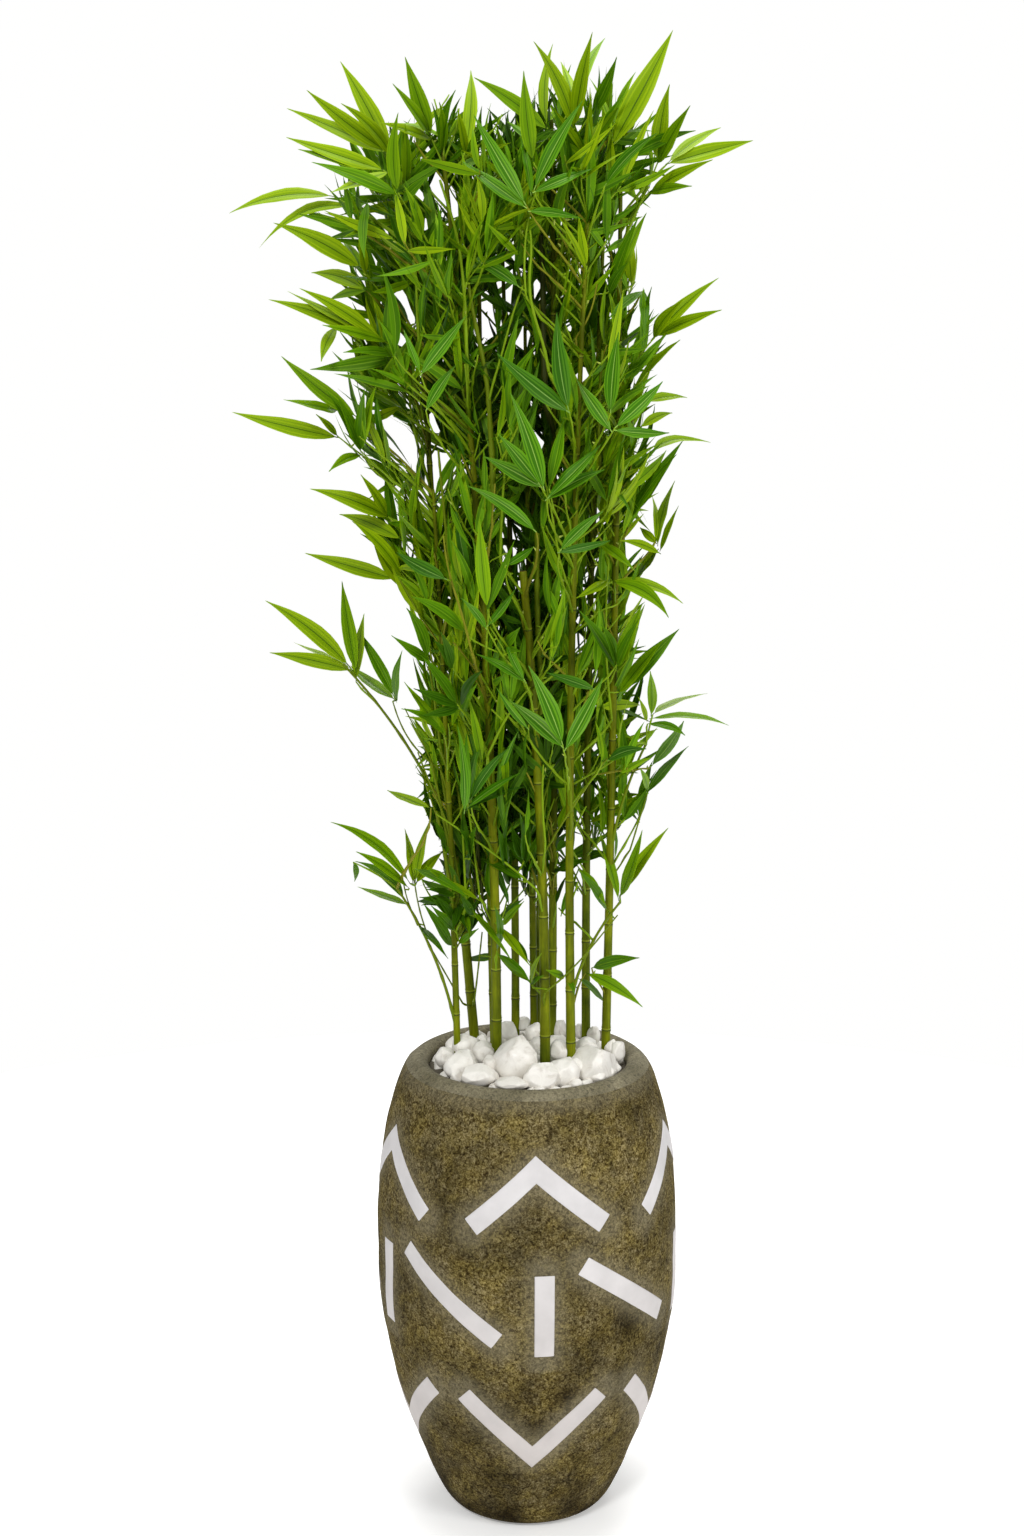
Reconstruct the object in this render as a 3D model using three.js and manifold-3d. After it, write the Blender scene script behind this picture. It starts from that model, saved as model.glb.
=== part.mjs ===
// Artificial potted bamboo: a tall clump of moulded canes with leaf sprays, set
// in a barrel-shaped cast stone planter whose mouth is filled with white pebbles.
// Units are millimetres, +Z is up, and the origin is the centre of the planter's
// flat underside. -Y is the front of the plant and +X is its right-hand side.
import * as THREE from "three";
import { ConvexGeometry } from "three/addons/geometries/ConvexGeometry.js";
import { mergeVertices } from "three/addons/utils/BufferGeometryUtils.js";
import Module from "manifold-3d";

// ---------------------------------------------------------------- dimensions
const POT_HEIGHT = 650; // underside to the top of the rounded lip
const POT_WALL = 14; // cast wall
const POT_FLOOR = 22; // cast floor
const POT_SIDES = 28;
// Outside of the pot: share of the height, radius.
const POT_OUTSIDE = [
  [0.0, 94],
  [0.012, 110],
  [0.051, 127],
  [0.136, 149.5],
  [0.249, 176.5],
  [0.362, 194.5],
  [0.501, 207.5],
  [0.638, 209],
  [0.774, 203],
  [0.855, 195],
  [0.935, 181],
  [0.985, 167],
];
const LIP_TOP_RADIUS = 151; // crown of the lip, at the full height
const MOUTH_RADIUS = 136.7; // clear opening inside the lip
const MOUTH_HEIGHT = 643; // height of the mouth's narrowest ring
const LIP_DEPTH = 34; // how far the thick lip reaches down inside

const FILL_TOP = 596; // top of the packed filler the canes are set in
const CANE_SET_DEPTH = 70; // how deep a cane stands in the filler
const PEBBLE_CROWN = 676; // highest pebbles, at the middle of the mouth
const PEBBLE_EDGE = 648; // pebbles at the lip
const PEBBLE_RIPPLE = 7; // how uneven the layer's top is

const FIT_GAP = 0.4; // clearance between neighbouring pieces
const CELL_GAP = 1.6; // half the slit between two neighbouring leaf masses
const CANE_SIDES = 6;
const CANE_STEPS = 7;
const BOUGH_SIDES = 5;
const BOUGH_STEPS = 6;

// Canes: foot [x, y] at the pebbles, [x, y] at mid height, tip [x, y, z], then
// the diameters at foot and tip.
const CANE_MID_HEIGHT = 1120;
const CANE_FOOT_HEIGHT = 650;
const CANES = {
  cane_01: [[-97, -16], [-110, -24], [-124, -34, 1430], 10.5, 4.5],
  cane_02: [[-72, 58], [-111, 66], [-146, 74, 1740], 14.5, 5.5],
  cane_03: [[-45, -26], [-52, -40], [-108, -50, 1850], 14.8, 5.5],
  cane_04: [[-17, 90], [-20, 98], [-36, 116, 1800], 12.4, 4.5],
  cane_05: [[10, 86], [4, 82], [-4, 66, 1640], 11.4, 4.5],
  cane_06: [[15, 112], [24, 124], [44, 142, 1700], 9.5, 4.0],
  cane_07: [[20, -48], [9, -54], [-7, -58, 1326], 15.0, 10.0],
  cane_08: [[34, 56], [36, 52], [30, 22, 1900], 13.2, 5.0],
  cane_09: [[61, -50], [56, -60], [74, -84, 1780], 14.0, 5.0],
  cane_10: [[84, 52], [83, 58], [104, 66, 1870], 13.2, 4.5],
  cane_11: [[108, 6], [114, -4], [118, -14, 1830], 13.2, 5.0],
  cane_12: [[-46, 32], [-56, 34], [-66, 30, 1870], 11.0, 4.5],
};

// Boughs: the cane they leave, the height they leave it at, the mass they end
// in, their sideways bow, and their diameters at the cane and at the mass.
const BOUGHS = {
  bough_low_left: ["cane_01", 686, "leaves_low_left", 0.1, 4.6, 3.2],
  bough_mid_left: ["cane_02", 930, "leaves_left_fan", 0.1, 4.6, 3.2],
  bough_low_right: ["cane_09", 742, "leaves_low_right", -0.12, 4.6, 3.2],
  bough_mid_right: ["cane_11", 930, "leaves_right_fan", -0.08, 4.6, 3.2],
};

// Leaf masses: centre [x, y, z], half sizes [x, y, z], and the sprays that reach
// furthest as [bearing, rise, reach]. The bearing turns from +X towards +Y, both
// angles are in degrees, and the reach is from the mass's centre.
const MASSES = {
  // crown top
  leaves_top_left: [[-178, -16, 1842], [94, 88, 92], [[188, 14, 138], [190, 34, 148], [200, 64, 144]]],
  leaves_top_left_front: [[-90, -96, 1826], [82, 80, 94], [[186, 66, 166], [30, 78, 136], [258, 16, 126]]],
  leaves_top_centre: [[20, -26, 1882], [84, 80, 92], [[172, 80, 117], [5, 63, 140], [5, 44, 131], [268, 36, 124]]],
  leaves_top_right_front: [[88, -108, 1806], [78, 72, 86], [[22, 58, 136], [292, 10, 118], [330, 38, 120]]],
  leaves_top_right: [[146, 12, 1850], [82, 88, 88], [[350, 77, 162], [8, 40, 118], [356, 10, 144], [350, -24, 74]]],
  leaves_top_back_left: [[-84, 98, 1850], [90, 80, 92], [[96, 64, 138], [132, 22, 142], [165, 46, 130]]],
  leaves_top_back_right: [[76, 114, 1834], [84, 78, 92], [[84, 66, 146], [54, 26, 142], [18, 46, 128]]],
  // shoulder
  leaves_left_arm: [[-226, 2, 1746], [78, 80, 66], [[178, 12, 165], [190, -4, 124], [206, -30, 100]]],
  leaves_shoulder_front_left: [[-124, -96, 1672], [88, 78, 90], [[236, 16, 134], [268, 30, 128], [206, -14, 118]]],
  leaves_shoulder_front: [[6, -120, 1726], [82, 74, 92], [[262, 26, 122], [292, 4, 118], [238, -14, 112]]],
  leaves_shoulder_right: [[88, -12, 1722], [62, 76, 80], [[352, 18, 74], [318, -12, 96]]],
  leaves_shoulder_back_left: [[-114, 104, 1690], [88, 80, 90], [[112, 18, 136], [146, 34, 138], [84, -6, 124]]],
  leaves_shoulder_back_right: [[62, 126, 1676], [84, 78, 90], [[66, 16, 136], [32, 32, 132], [92, -8, 122]]],
  // upper middle
  leaves_mid_left: [[-192, -8, 1582], [92, 88, 90], [[180, 32, 172], [176, 8, 135], [184, -15, 204]]],
  leaves_mid_front_left: [[-88, -112, 1520], [86, 76, 90], [[250, 26, 128], [276, 4, 124], [220, -8, 120]]],
  leaves_mid_front_right: [[42, -112, 1574], [84, 76, 94], [[268, 32, 126], [300, 10, 122], [244, -8, 118]]],
  leaves_mid_right: [[130, 0, 1620], [78, 84, 74], [[2, 35, 144], [355, 17, 129], [320, 6, 108]]],
  leaves_mid_right_low: [[116, -22, 1492], [80, 82, 74], [[0, 46, 106], [4, 30, 106], [0, -3, 124], [314, 6, 104]]],
  leaves_mid_back_left: [[-96, 102, 1534], [88, 80, 90], [[114, 24, 136], [150, 10, 132], [88, -10, 122]]],
  leaves_mid_back_right: [[66, 118, 1518], [86, 78, 90], [[62, 22, 136], [26, 8, 130], [92, 30, 126]]],
  // lower middle
  leaves_waist_left: [[-142, -16, 1414], [84, 84, 90], [[182, 18, 126], [180, 7, 146], [184, -24, 166]]],
  leaves_waist_front: [[-22, -108, 1384], [88, 76, 94], [[262, 26, 122], [296, 0, 120], [230, -2, 120]]],
  leaves_waist_right: [[106, -46, 1362], [78, 80, 84], [[18, 42, 118], [2, 24, 100], [350, 2, 90], [306, 8, 112]]],
  leaves_waist_back: [[-46, 104, 1376], [92, 78, 92], [[100, 20, 130], [132, 2, 130], [66, -8, 124]]],
  leaves_waist_back_right: [[92, 88, 1382], [74, 76, 92], [[50, 18, 124], [22, -6, 118]]],
  // skirt of the clump
  leaves_skirt_left: [[-100, -14, 1250], [64, 78, 92], [[180, 22, 76], [184, -8, 84], [232, 12, 106]]],
  leaves_left_fan: [[-250, -20, 1224], [32, 30, 32], [[178, 30, 113], [186, -6, 94], [90, 87, 82], [12, 44, 50]]],
  leaves_skirt_front: [[4, -96, 1208], [84, 72, 92], [[258, 24, 118], [290, -4, 116], [224, 4, 112]]],
  leaves_skirt_right: [[110, -14, 1212], [64, 80, 82], [[6, 33, 112], [2, 16, 96], [330, -14, 92]]],
  leaves_skirt_back: [[14, 100, 1208], [100, 74, 92], [[86, 18, 122], [122, -4, 120], [52, 0, 120]]],
  // fringe above the bare canes
  leaves_right_fan: [[170, -26, 1108], [46, 54, 48], [[6, 32, 86], [352, 2, 100], [14, -32, 56]]],
  leaves_fringe_front_left: [[-86, -56, 1080], [74, 66, 88], [[220, 20, 112], [262, 32, 106], [194, -24, 112]]],
  leaves_fringe_front_right: [[56, -82, 1052], [80, 64, 86], [[288, 18, 110], [318, -8, 108], [250, 36, 106]]],
  leaves_fringe_back: [[-4, 92, 1052], [100, 68, 84], [[92, 12, 114], [136, 0, 114], [50, -10, 112]]],
  leaves_low_left: [[-186, -34, 908], [40, 36, 36], [[178, 42, 108], [172, 30, 58], [184, -14, 54], [20, 56, 82]]],
  leaves_low_right: [[140, -62, 906], [34, 32, 40], [[8, 52, 82], [100, 78, 66], [352, 20, 44]]],
  leaves_low_centre: [[-52, -46, 906], [60, 48, 70], [[214, 16, 90], [336, 4, 92], [282, -24, 86]]],
};
const MASS_FINE = 24; // plain directions of a mass, besides its sprays
const SPRAY_WIDTH = 17; // degrees from a spray's middle to its foot
const SEED = 7;

// Colours, roughness
const STONE = { color: 0x6e6448, roughness: 0.92, metalness: 0 };
const FILLER = { color: 0x5a4a38, roughness: 0.95, metalness: 0 };
const PEBBLE = { color: 0xebebe8, roughness: 0.55, metalness: 0 };
const CANE = { color: 0x66761e, roughness: 0.5, metalness: 0 };
const BOUGH = { color: 0x7d8f2b, roughness: 0.55, metalness: 0 };
const LEAF = { color: 0x3f7a1c, roughness: 0.5, metalness: 0 };

// ------------------------------------------------------------------- helpers
const wasm = await Module();
wasm.setup();

const rad = THREE.MathUtils.degToRad;

function randomFrom(seed) {
  let a = seed >>> 0;
  return () => {
    a = (a + 0x6d2b79f5) >>> 0;
    let t = a;
    t = Math.imul(t ^ (t >>> 15), t | 1);
    t ^= t + Math.imul(t ^ (t >>> 7), t | 61);
    return ((t ^ (t >>> 14)) >>> 0) / 4294967296;
  };
}

// A closed geometry as a solid, turned outwards if its faces point in.
function solid(geometry) {
  const plain = geometry.clone();
  plain.deleteAttribute("normal");
  plain.deleteAttribute("uv");
  const g = mergeVertices(plain, 1e-3);
  const index = new Uint32Array(g.index.array);
  const build = () =>
    new wasm.Manifold(
      new wasm.Mesh({
        numProp: 3,
        vertProperties: new Float32Array(g.attributes.position.array),
        triVerts: index,
      }),
    );
  let made = build();
  if (made.volume() < 0) {
    for (let i = 0; i < index.length; i += 3)
      [index[i + 1], index[i + 2]] = [index[i + 2], index[i + 1]];
    made = build();
  }
  return made;
}

function largest(made) {
  const bodies = made.decompose();
  return bodies.reduce((a, b) => (b.volume() > a.volume() ? b : a));
}

function geometryOf(made, at) {
  const m = made.getMesh();
  const g = new THREE.BufferGeometry();
  g.setAttribute(
    "position",
    new THREE.BufferAttribute(new Float32Array(m.vertProperties), 3),
  );
  g.setIndex(new THREE.BufferAttribute(new Uint32Array(m.triVerts), 1));
  g.translate(-at.x, -at.y, -at.z);
  g.computeVertexNormals();
  return g;
}

function meshOf(name, made, look, at = new THREE.Vector3()) {
  const mesh = new THREE.Mesh(
    geometryOf(made, at),
    new THREE.MeshStandardMaterial(look),
  );
  mesh.name = name;
  mesh.position.copy(at);
  return mesh;
}

function lathe(profile, sides) {
  const g = new THREE.LatheGeometry(
    profile.map(([r, z]) => new THREE.Vector2(r, z)),
    sides,
  );
  g.rotateX(Math.PI / 2);
  return g;
}

// A limb: a tapered round bar bent along a curve, with flat ends.
function limb(curve, footRadius, tipRadius, sides, steps, extra = 0) {
  const bar = new THREE.CylinderGeometry(tipRadius, footRadius, 1, sides, steps);
  const p = bar.attributes.position;
  const side = new THREE.Vector3();
  const fore = new THREE.Vector3();
  for (let i = 0; i < p.count; i++) {
    const t = p.getY(i) + 0.5;
    const run = curve.getTangent(t);
    const centre = curve.getPoint(t);
    side.set(0, 1, 0).cross(run).normalize();
    fore.copy(run).cross(side);
    const ring = Math.hypot(p.getX(i), p.getZ(i));
    const grow = ring > 1e-6 ? (ring + extra) / ring : 1;
    const end = t < 1e-6 ? -extra : t > 1 - 1e-6 ? extra : 0;
    centre
      .addScaledVector(side, p.getX(i) * grow)
      .addScaledVector(fore, p.getZ(i) * grow)
      .addScaledVector(run, end);
    p.setXYZ(i, centre.x, centre.y, centre.z);
  }
  return bar;
}

function direction([bearing, rise]) {
  const b = rad(bearing);
  const r = rad(rise);
  return new THREE.Vector3(
    Math.cos(r) * Math.cos(b),
    Math.cos(r) * Math.sin(b),
    Math.sin(r),
  );
}

// ----------------------------------------------------------------------- pot
const outside = POT_OUTSIDE.map(([share, r]) => [r, share * POT_HEIGHT]);
const outsideRadius = (z) => {
  for (let i = 1; i < outside.length; i++)
    if (z <= outside[i][1]) {
      const [r0, z0] = outside[i - 1];
      const [r1, z1] = outside[i];
      return r0 + ((r1 - r0) * (z - z0)) / (z1 - z0);
    }
  return outside.at(-1)[0];
};
const insideRadius = (z) =>
  z > POT_HEIGHT - LIP_DEPTH - 16
    ? MOUTH_RADIUS +
      Math.max(0, (MOUTH_HEIGHT - z) / LIP_DEPTH) ** 2 *
        (outsideRadius(POT_HEIGHT - LIP_DEPTH - 16) - POT_WALL - MOUTH_RADIUS) * 0.55
    : outsideRadius(z) - POT_WALL;
const insideHeights = [POT_FLOOR, 110, 230, 360, 480, 560, FILL_TOP, 618];
const inside = insideHeights.map((z) => [insideRadius(z), z]).reverse();
const pot = solid(
  lathe(
    [
      [0, 0],
      ...outside,
      [159.5, POT_HEIGHT - 3.2],
      [LIP_TOP_RADIUS, POT_HEIGHT],
      [142, POT_HEIGHT - 2.2],
      [MOUTH_RADIUS, MOUTH_HEIGHT],
      ...inside,
      [0, POT_FLOOR],
    ],
    POT_SIDES,
  ),
);

// --------------------------------------------------------------------- canes
const canes = {};
for (const [name, [foot, mid, tip, footSize, tipSize]] of Object.entries(CANES)) {
  const low = FILL_TOP - CANE_SET_DEPTH;
  const top = tip[2];
  const share = (CANE_MID_HEIGHT - low) / (top - low);
  const lean = (i) => (mid[i] - foot[i]) / (CANE_MID_HEIGHT - CANE_FOOT_HEIGHT);
  const start = [0, 1].map((i) => foot[i] - lean(i) * (CANE_FOOT_HEIGHT - low));
  // Control point of the quadratic curve that passes through mid at its height.
  const control = [0, 1].map(
    (i) =>
      (mid[i] - (1 - share) ** 2 * start[i] - share ** 2 * tip[i]) /
      (2 * share * (1 - share)),
  );
  const curve = new THREE.QuadraticBezierCurve3(
    new THREE.Vector3(start[0], start[1], low),
    new THREE.Vector3(control[0], control[1], (low + top) / 2),
    new THREE.Vector3(tip[0], tip[1], top),
  );
  const shape = (extra) =>
    solid(limb(curve, footSize / 2, tipSize / 2, CANE_SIDES, CANE_STEPS, extra));
  canes[name] = {
    curve,
    low,
    top,
    radiusAt: (z) =>
      (footSize + ((tipSize - footSize) * (z - low)) / (top - low)) / 2,
    at: (z) => curve.getPoint((z - low) / (top - low)),
    body: shape(0),
    cutter: shape(FIT_GAP + 0.5),
  };
}

// -------------------------------------------------------------------- filler
const fillerProfile = [
  [0, POT_FLOOR + FIT_GAP],
  ...[POT_FLOOR + FIT_GAP, 110, 230, 360, 480, FILL_TOP].map((z) => [
    insideRadius(z) - 1.2,
    z,
  ]),
  [0, FILL_TOP],
];
let filler = solid(lathe(fillerProfile, POT_SIDES));
for (const c of Object.values(canes)) filler = filler.subtract(c.cutter);

// ------------------------------------------------------------------- pebbles
const ripple = (x, y) =>
  PEBBLE_RIPPLE *
  (Math.sin(x / 15 + 1.3) * Math.cos(y / 13 - 0.4) +
    0.5 * Math.sin(x / 8 - y / 10));
const pebbleSurface = lathe(
  [
    [0, FILL_TOP + FIT_GAP],
    [insideRadius(FILL_TOP) - 1.2, FILL_TOP + FIT_GAP],
    [insideRadius(618) - 1.2, 618],
    [MOUTH_RADIUS - 1.2, 634],
    [MOUTH_RADIUS - 3, PEBBLE_EDGE],
    [110, PEBBLE_CROWN - 12],
    [76, PEBBLE_CROWN - 4],
    [36, PEBBLE_CROWN],
    [0, PEBBLE_CROWN],
  ],
  POT_SIDES,
);
const pebblePoints = pebbleSurface.attributes.position;
for (let i = 0; i < pebblePoints.count; i++) {
  const [x, y, z] = [pebblePoints.getX(i), pebblePoints.getY(i), pebblePoints.getZ(i)];
  if (z > PEBBLE_EDGE + 1) pebblePoints.setZ(i, z - 4 + ripple(x, y) * 0.8);
}
let pebbles = solid(pebbleSurface);
for (const c of Object.values(canes)) pebbles = pebbles.subtract(c.cutter);

// -------------------------------------------------------------- leaf masses
const centres = Object.fromEntries(
  Object.entries(MASSES).map(([name, [at]]) => [name, new THREE.Vector3(...at)]),
);
const meanSize = ([, size]) => (size[0] + size[1] + size[2]) / 3;

// How far a mass may reach in a direction before it meets the wall it shares
// with a neighbour.
function cellReach(name, dir) {
  let reach = Infinity;
  const here = centres[name];
  const mine = meanSize(MASSES[name]);
  for (const [other, there] of Object.entries(centres)) {
    if (other === name) continue;
    const across = there.clone().sub(here);
    const gap = across.length();
    across.divideScalar(gap);
    const facing = across.dot(dir);
    if (facing <= 1e-3) continue;
    const wall = (gap * mine) / (mine + meanSize(MASSES[other])) - CELL_GAP;
    reach = Math.min(reach, wall / facing);
  }
  return reach;
}

function massShape(name, order, extra = 0) {
  const [, size, sprays] = MASSES[name];
  const random = randomFrom(SEED * 1000 + order * 17);
  const phase = [random(), random(), random(), random()].map((v) => v * 6.283);
  const body = (d) => {
    const plain =
      1 / Math.hypot(d.x / size[0], d.y / size[1], d.z / size[2]);
    const lump =
      0.12 * Math.sin(4.1 * d.x + phase[0]) * Math.cos(3.7 * d.z + phase[1]) +
      0.09 * Math.sin(5.3 * d.y + phase[2] + 2.2 * d.z) +
      0.06 * Math.sin(7.1 * d.z + phase[3]);
    return plain * (1 + lump);
  };
  const points = [];
  const tips = sprays.map((s) => ({ dir: direction(s), reach: s[2] }));
  for (const tip of tips) {
    points.push({ dir: tip.dir, reach: tip.reach });
    const flat = new THREE.Vector3(0, 0, 1).cross(tip.dir).normalize();
    const rise = tip.dir.clone().cross(flat);
    for (let k = 0; k < 4; k++) {
      const turn = ((k + 0.5) * Math.PI) / 2;
      const dir = tip.dir
        .clone()
        .addScaledVector(flat, Math.tan(rad(SPRAY_WIDTH)) * Math.cos(turn))
        .addScaledVector(rise, Math.tan(rad(SPRAY_WIDTH)) * Math.sin(turn))
        .normalize();
      if (tips.some((t) => t !== tip && t.dir.angleTo(dir) < rad(SPRAY_WIDTH * 0.7)))
        continue;
      points.push({ dir, reach: body(dir) * 0.96 });
    }
  }
  const swing = random() * 6.283;
  for (let k = 0; k < MASS_FINE; k++) {
    const z = 1 - (2 * k + 1) / MASS_FINE;
    const turn = k * 2.399963 + swing;
    const flat = Math.sqrt(1 - z * z);
    const dir = new THREE.Vector3(flat * Math.cos(turn), flat * Math.sin(turn), z);
    if (points.some((p) => p.dir.angleTo(dir) < rad(15))) continue;
    points.push({ dir, reach: body(dir) * (k % 3 === 1 ? 1.12 : 0.92) });
  }
  const hull = mergeVertices(
    (() => {
      const g = new ConvexGeometry(points.map((p) => p.dir.clone()));
      g.deleteAttribute("normal");
      return g;
    })(),
    1e-5,
  );
  const place = hull.attributes.position;
  const dir = new THREE.Vector3();
  for (let i = 0; i < place.count; i++) {
    dir.fromBufferAttribute(place, i).normalize();
    let best = points[0];
    for (const p of points) if (p.dir.dot(dir) > best.dir.dot(dir)) best = p;
    const reach = Math.min(best.reach, cellReach(name, dir)) + extra;
    place.setXYZ(
      i,
      centres[name].x + dir.x * reach,
      centres[name].y + dir.y * reach,
      centres[name].z + dir.z * reach,
    );
  }
  return solid(hull);
}

const massNames = Object.keys(MASSES);
const masses = Object.fromEntries(
  massNames.map((name, order) => [name, massShape(name, order)]),
);

// -------------------------------------------------------------------- boughs
// Each bough leaves its cane, bows outwards and ends at the edge of its mass.
const boughs = {};
for (const [name, [cane, height, mass, bow, footSize, tipSize]] of Object.entries(BOUGHS)) {
  const from = canes[cane].at(height);
  const to = centres[mass];
  const run = to.clone().sub(from);
  const aside = new THREE.Vector3(run.z, 0, -run.x).multiplyScalar(bow);
  const middle = from.clone().lerp(to, 0.5).add(aside);
  const curve = new THREE.QuadraticBezierCurve3(from, middle, to);
  const bar = (extra) =>
    solid(limb(curve, footSize / 2, tipSize / 2, BOUGH_SIDES, BOUGH_STEPS, extra));
  let body = bar(0).subtract(massShape(mass, massNames.indexOf(mass), FIT_GAP * 3));
  for (const c of Object.values(canes)) body = body.subtract(c.cutter);
  boughs[name] = { body: largest(body), cutter: bar(FIT_GAP + 0.5), mass };
}

for (const name of massNames) {
  let body = masses[name];
  for (const c of Object.values(canes)) body = body.subtract(c.cutter);
  for (const b of Object.values(boughs))
    if (b.mass !== name) body = body.subtract(b.cutter);
  masses[name] = largest(body);
}

// ------------------------------------------------------------------ assembly
const planter = new THREE.Group();
planter.add(
  meshOf("pot", pot, STONE),
  meshOf("filler", filler, FILLER, new THREE.Vector3(0, 0, POT_FLOOR)),
  meshOf("pebbles", pebbles, PEBBLE, new THREE.Vector3(0, 0, FILL_TOP)),
);

const stems = new THREE.Group();
for (const [name, c] of Object.entries(canes))
  stems.add(meshOf(name, c.body, CANE, c.at(c.low)));
for (const [name, b] of Object.entries(boughs))
  stems.add(meshOf(name, b.body, BOUGH));

const crown = new THREE.Group();
for (const name of massNames)
  crown.add(meshOf(name, masses[name], LEAF, centres[name]));

const plant = new THREE.Group();
plant.add(planter, stems, crown);

export default plant;
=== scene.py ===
"""Artificial potted bamboo: twelve canes with leafy sprays in a rounded
fibrestone planter dressed with white pebbles. Metres, +Z up, front along -Y."""

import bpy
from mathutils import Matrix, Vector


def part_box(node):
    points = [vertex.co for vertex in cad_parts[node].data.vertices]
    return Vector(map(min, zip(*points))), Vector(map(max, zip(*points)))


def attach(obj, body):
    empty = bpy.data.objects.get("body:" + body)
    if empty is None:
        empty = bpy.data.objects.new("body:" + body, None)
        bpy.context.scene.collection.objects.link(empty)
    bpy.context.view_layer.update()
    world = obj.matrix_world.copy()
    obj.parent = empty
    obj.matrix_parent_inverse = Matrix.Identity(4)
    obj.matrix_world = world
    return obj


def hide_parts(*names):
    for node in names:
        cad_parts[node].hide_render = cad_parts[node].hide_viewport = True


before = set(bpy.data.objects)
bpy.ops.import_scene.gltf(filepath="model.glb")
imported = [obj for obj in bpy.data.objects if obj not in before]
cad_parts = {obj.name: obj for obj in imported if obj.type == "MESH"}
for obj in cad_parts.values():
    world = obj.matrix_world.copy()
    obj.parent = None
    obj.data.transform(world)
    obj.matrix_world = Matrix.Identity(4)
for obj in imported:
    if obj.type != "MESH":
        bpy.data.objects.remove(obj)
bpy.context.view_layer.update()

import math
import random

import bpy
import numpy as np
from mathutils import Vector, noise
from mathutils.bvhtree import BVHTree

SEED = 11
rng = random.Random(SEED)
nrng = np.random.default_rng(SEED)

# ------------------------------------------------------------------- camera
EYE = np.array([-0.0212, -3.145, 1.667])
PITCH = math.radians(11.04)
cam_data = bpy.data.cameras.new("camera")
cam_data.lens = 36.0 * 2377.0 / 1536.0
cam_data.sensor_width = 36.0
cam = bpy.data.objects.new("camera", cam_data)
cam.location = EYE
cam.rotation_euler = (math.pi / 2 - PITCH, 0.0, 0.0)
bpy.context.scene.collection.objects.link(cam)
bpy.context.scene.camera = cam
bpy.context.scene.view_settings.view_transform = "Standard"


def to_mid(p):
    """Points moved along the front sight line onto the plane y = 0."""
    p = np.asarray(p, float)
    k = (0.0 - EYE[1]) / (p[..., 1:2] - EYE[1])
    return EYE + (p - EYE) * k


def from_mid(x, z, y):
    """The point at depth y that lies in front of or behind (x, 0, z)."""
    k = (y - EYE[1]) / (0.0 - EYE[1])
    return EYE + (np.array([x, 0.0, z]) - EYE) * k


# ---------------------------------------------------------------- materials
def lin(r, g, b):
    def one(v):
        v /= 255.0
        return v / 12.92 if v <= 0.04045 else ((v + 0.055) / 1.055) ** 2.4

    return (one(r), one(g), one(b), 1.0)


def principled(name):
    m = bpy.data.materials.new(name)
    m.use_nodes = True
    return m, m.node_tree, m.node_tree.nodes["Principled BSDF"]


def plain(name, rgb, rough, shine=0.4):
    m, _, b = principled(name)
    b.inputs["Base Color"].default_value = lin(*rgb)
    b.inputs["Roughness"].default_value = rough
    b.inputs["Specular IOR Level"].default_value = shine
    return m


def node(tree, kind, **values):
    n = tree.nodes.new(kind)
    for key, value in values.items():
        if key in n.inputs:
            n.inputs[key].default_value = value
        else:
            setattr(n, key, value)
    return n


def ramp(tree, source, stops):
    n = tree.nodes.new("ShaderNodeValToRGB")
    e = n.color_ramp.elements
    while len(e) < len(stops):
        e.new(0.5)
    for element, (at, colour) in zip(e, stops):
        element.position = at
        element.color = colour
    tree.links.new(source, n.inputs["Fac"])
    return n.outputs["Color"]


def mix(tree, kind, fac, a, b):
    n = tree.nodes.new("ShaderNodeMix")
    n.data_type = "RGBA"
    n.blend_type = kind
    if hasattr(fac, "links"):
        tree.links.new(fac, n.inputs["Factor"])
    else:
        n.inputs["Factor"].default_value = fac
    for value, socket in ((a, n.inputs["A"]), (b, n.inputs["B"])):
        if hasattr(value, "links"):
            tree.links.new(value, socket)
        else:
            socket.default_value = value
    return n.outputs["Result"]


def grey(v):
    return (v, v, v, 1.0)


def position(tree):
    return tree.nodes.new("ShaderNodeTexCoord").outputs["Object"]


def noise_tex(tree, at, scale, detail=4.0, rough=0.55, distortion=0.0):
    n = node(
        tree,
        "ShaderNodeTexNoise",
        Scale=scale,
        Detail=detail,
        Roughness=rough,
        Distortion=distortion,
    )
    tree.links.new(at, n.inputs["Vector"])
    return n.outputs["Fac"]


def bump(tree, bsdf, height, distance, strength=1.0, under=None):
    n = node(tree, "ShaderNodeBump", Strength=strength, Distance=distance)
    tree.links.new(height, n.inputs["Height"])
    if under is not None:
        tree.links.new(under, n.inputs["Normal"])
    tree.links.new(n.outputs["Normal"], bsdf.inputs["Normal"])
    return n.outputs["Normal"]


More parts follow.
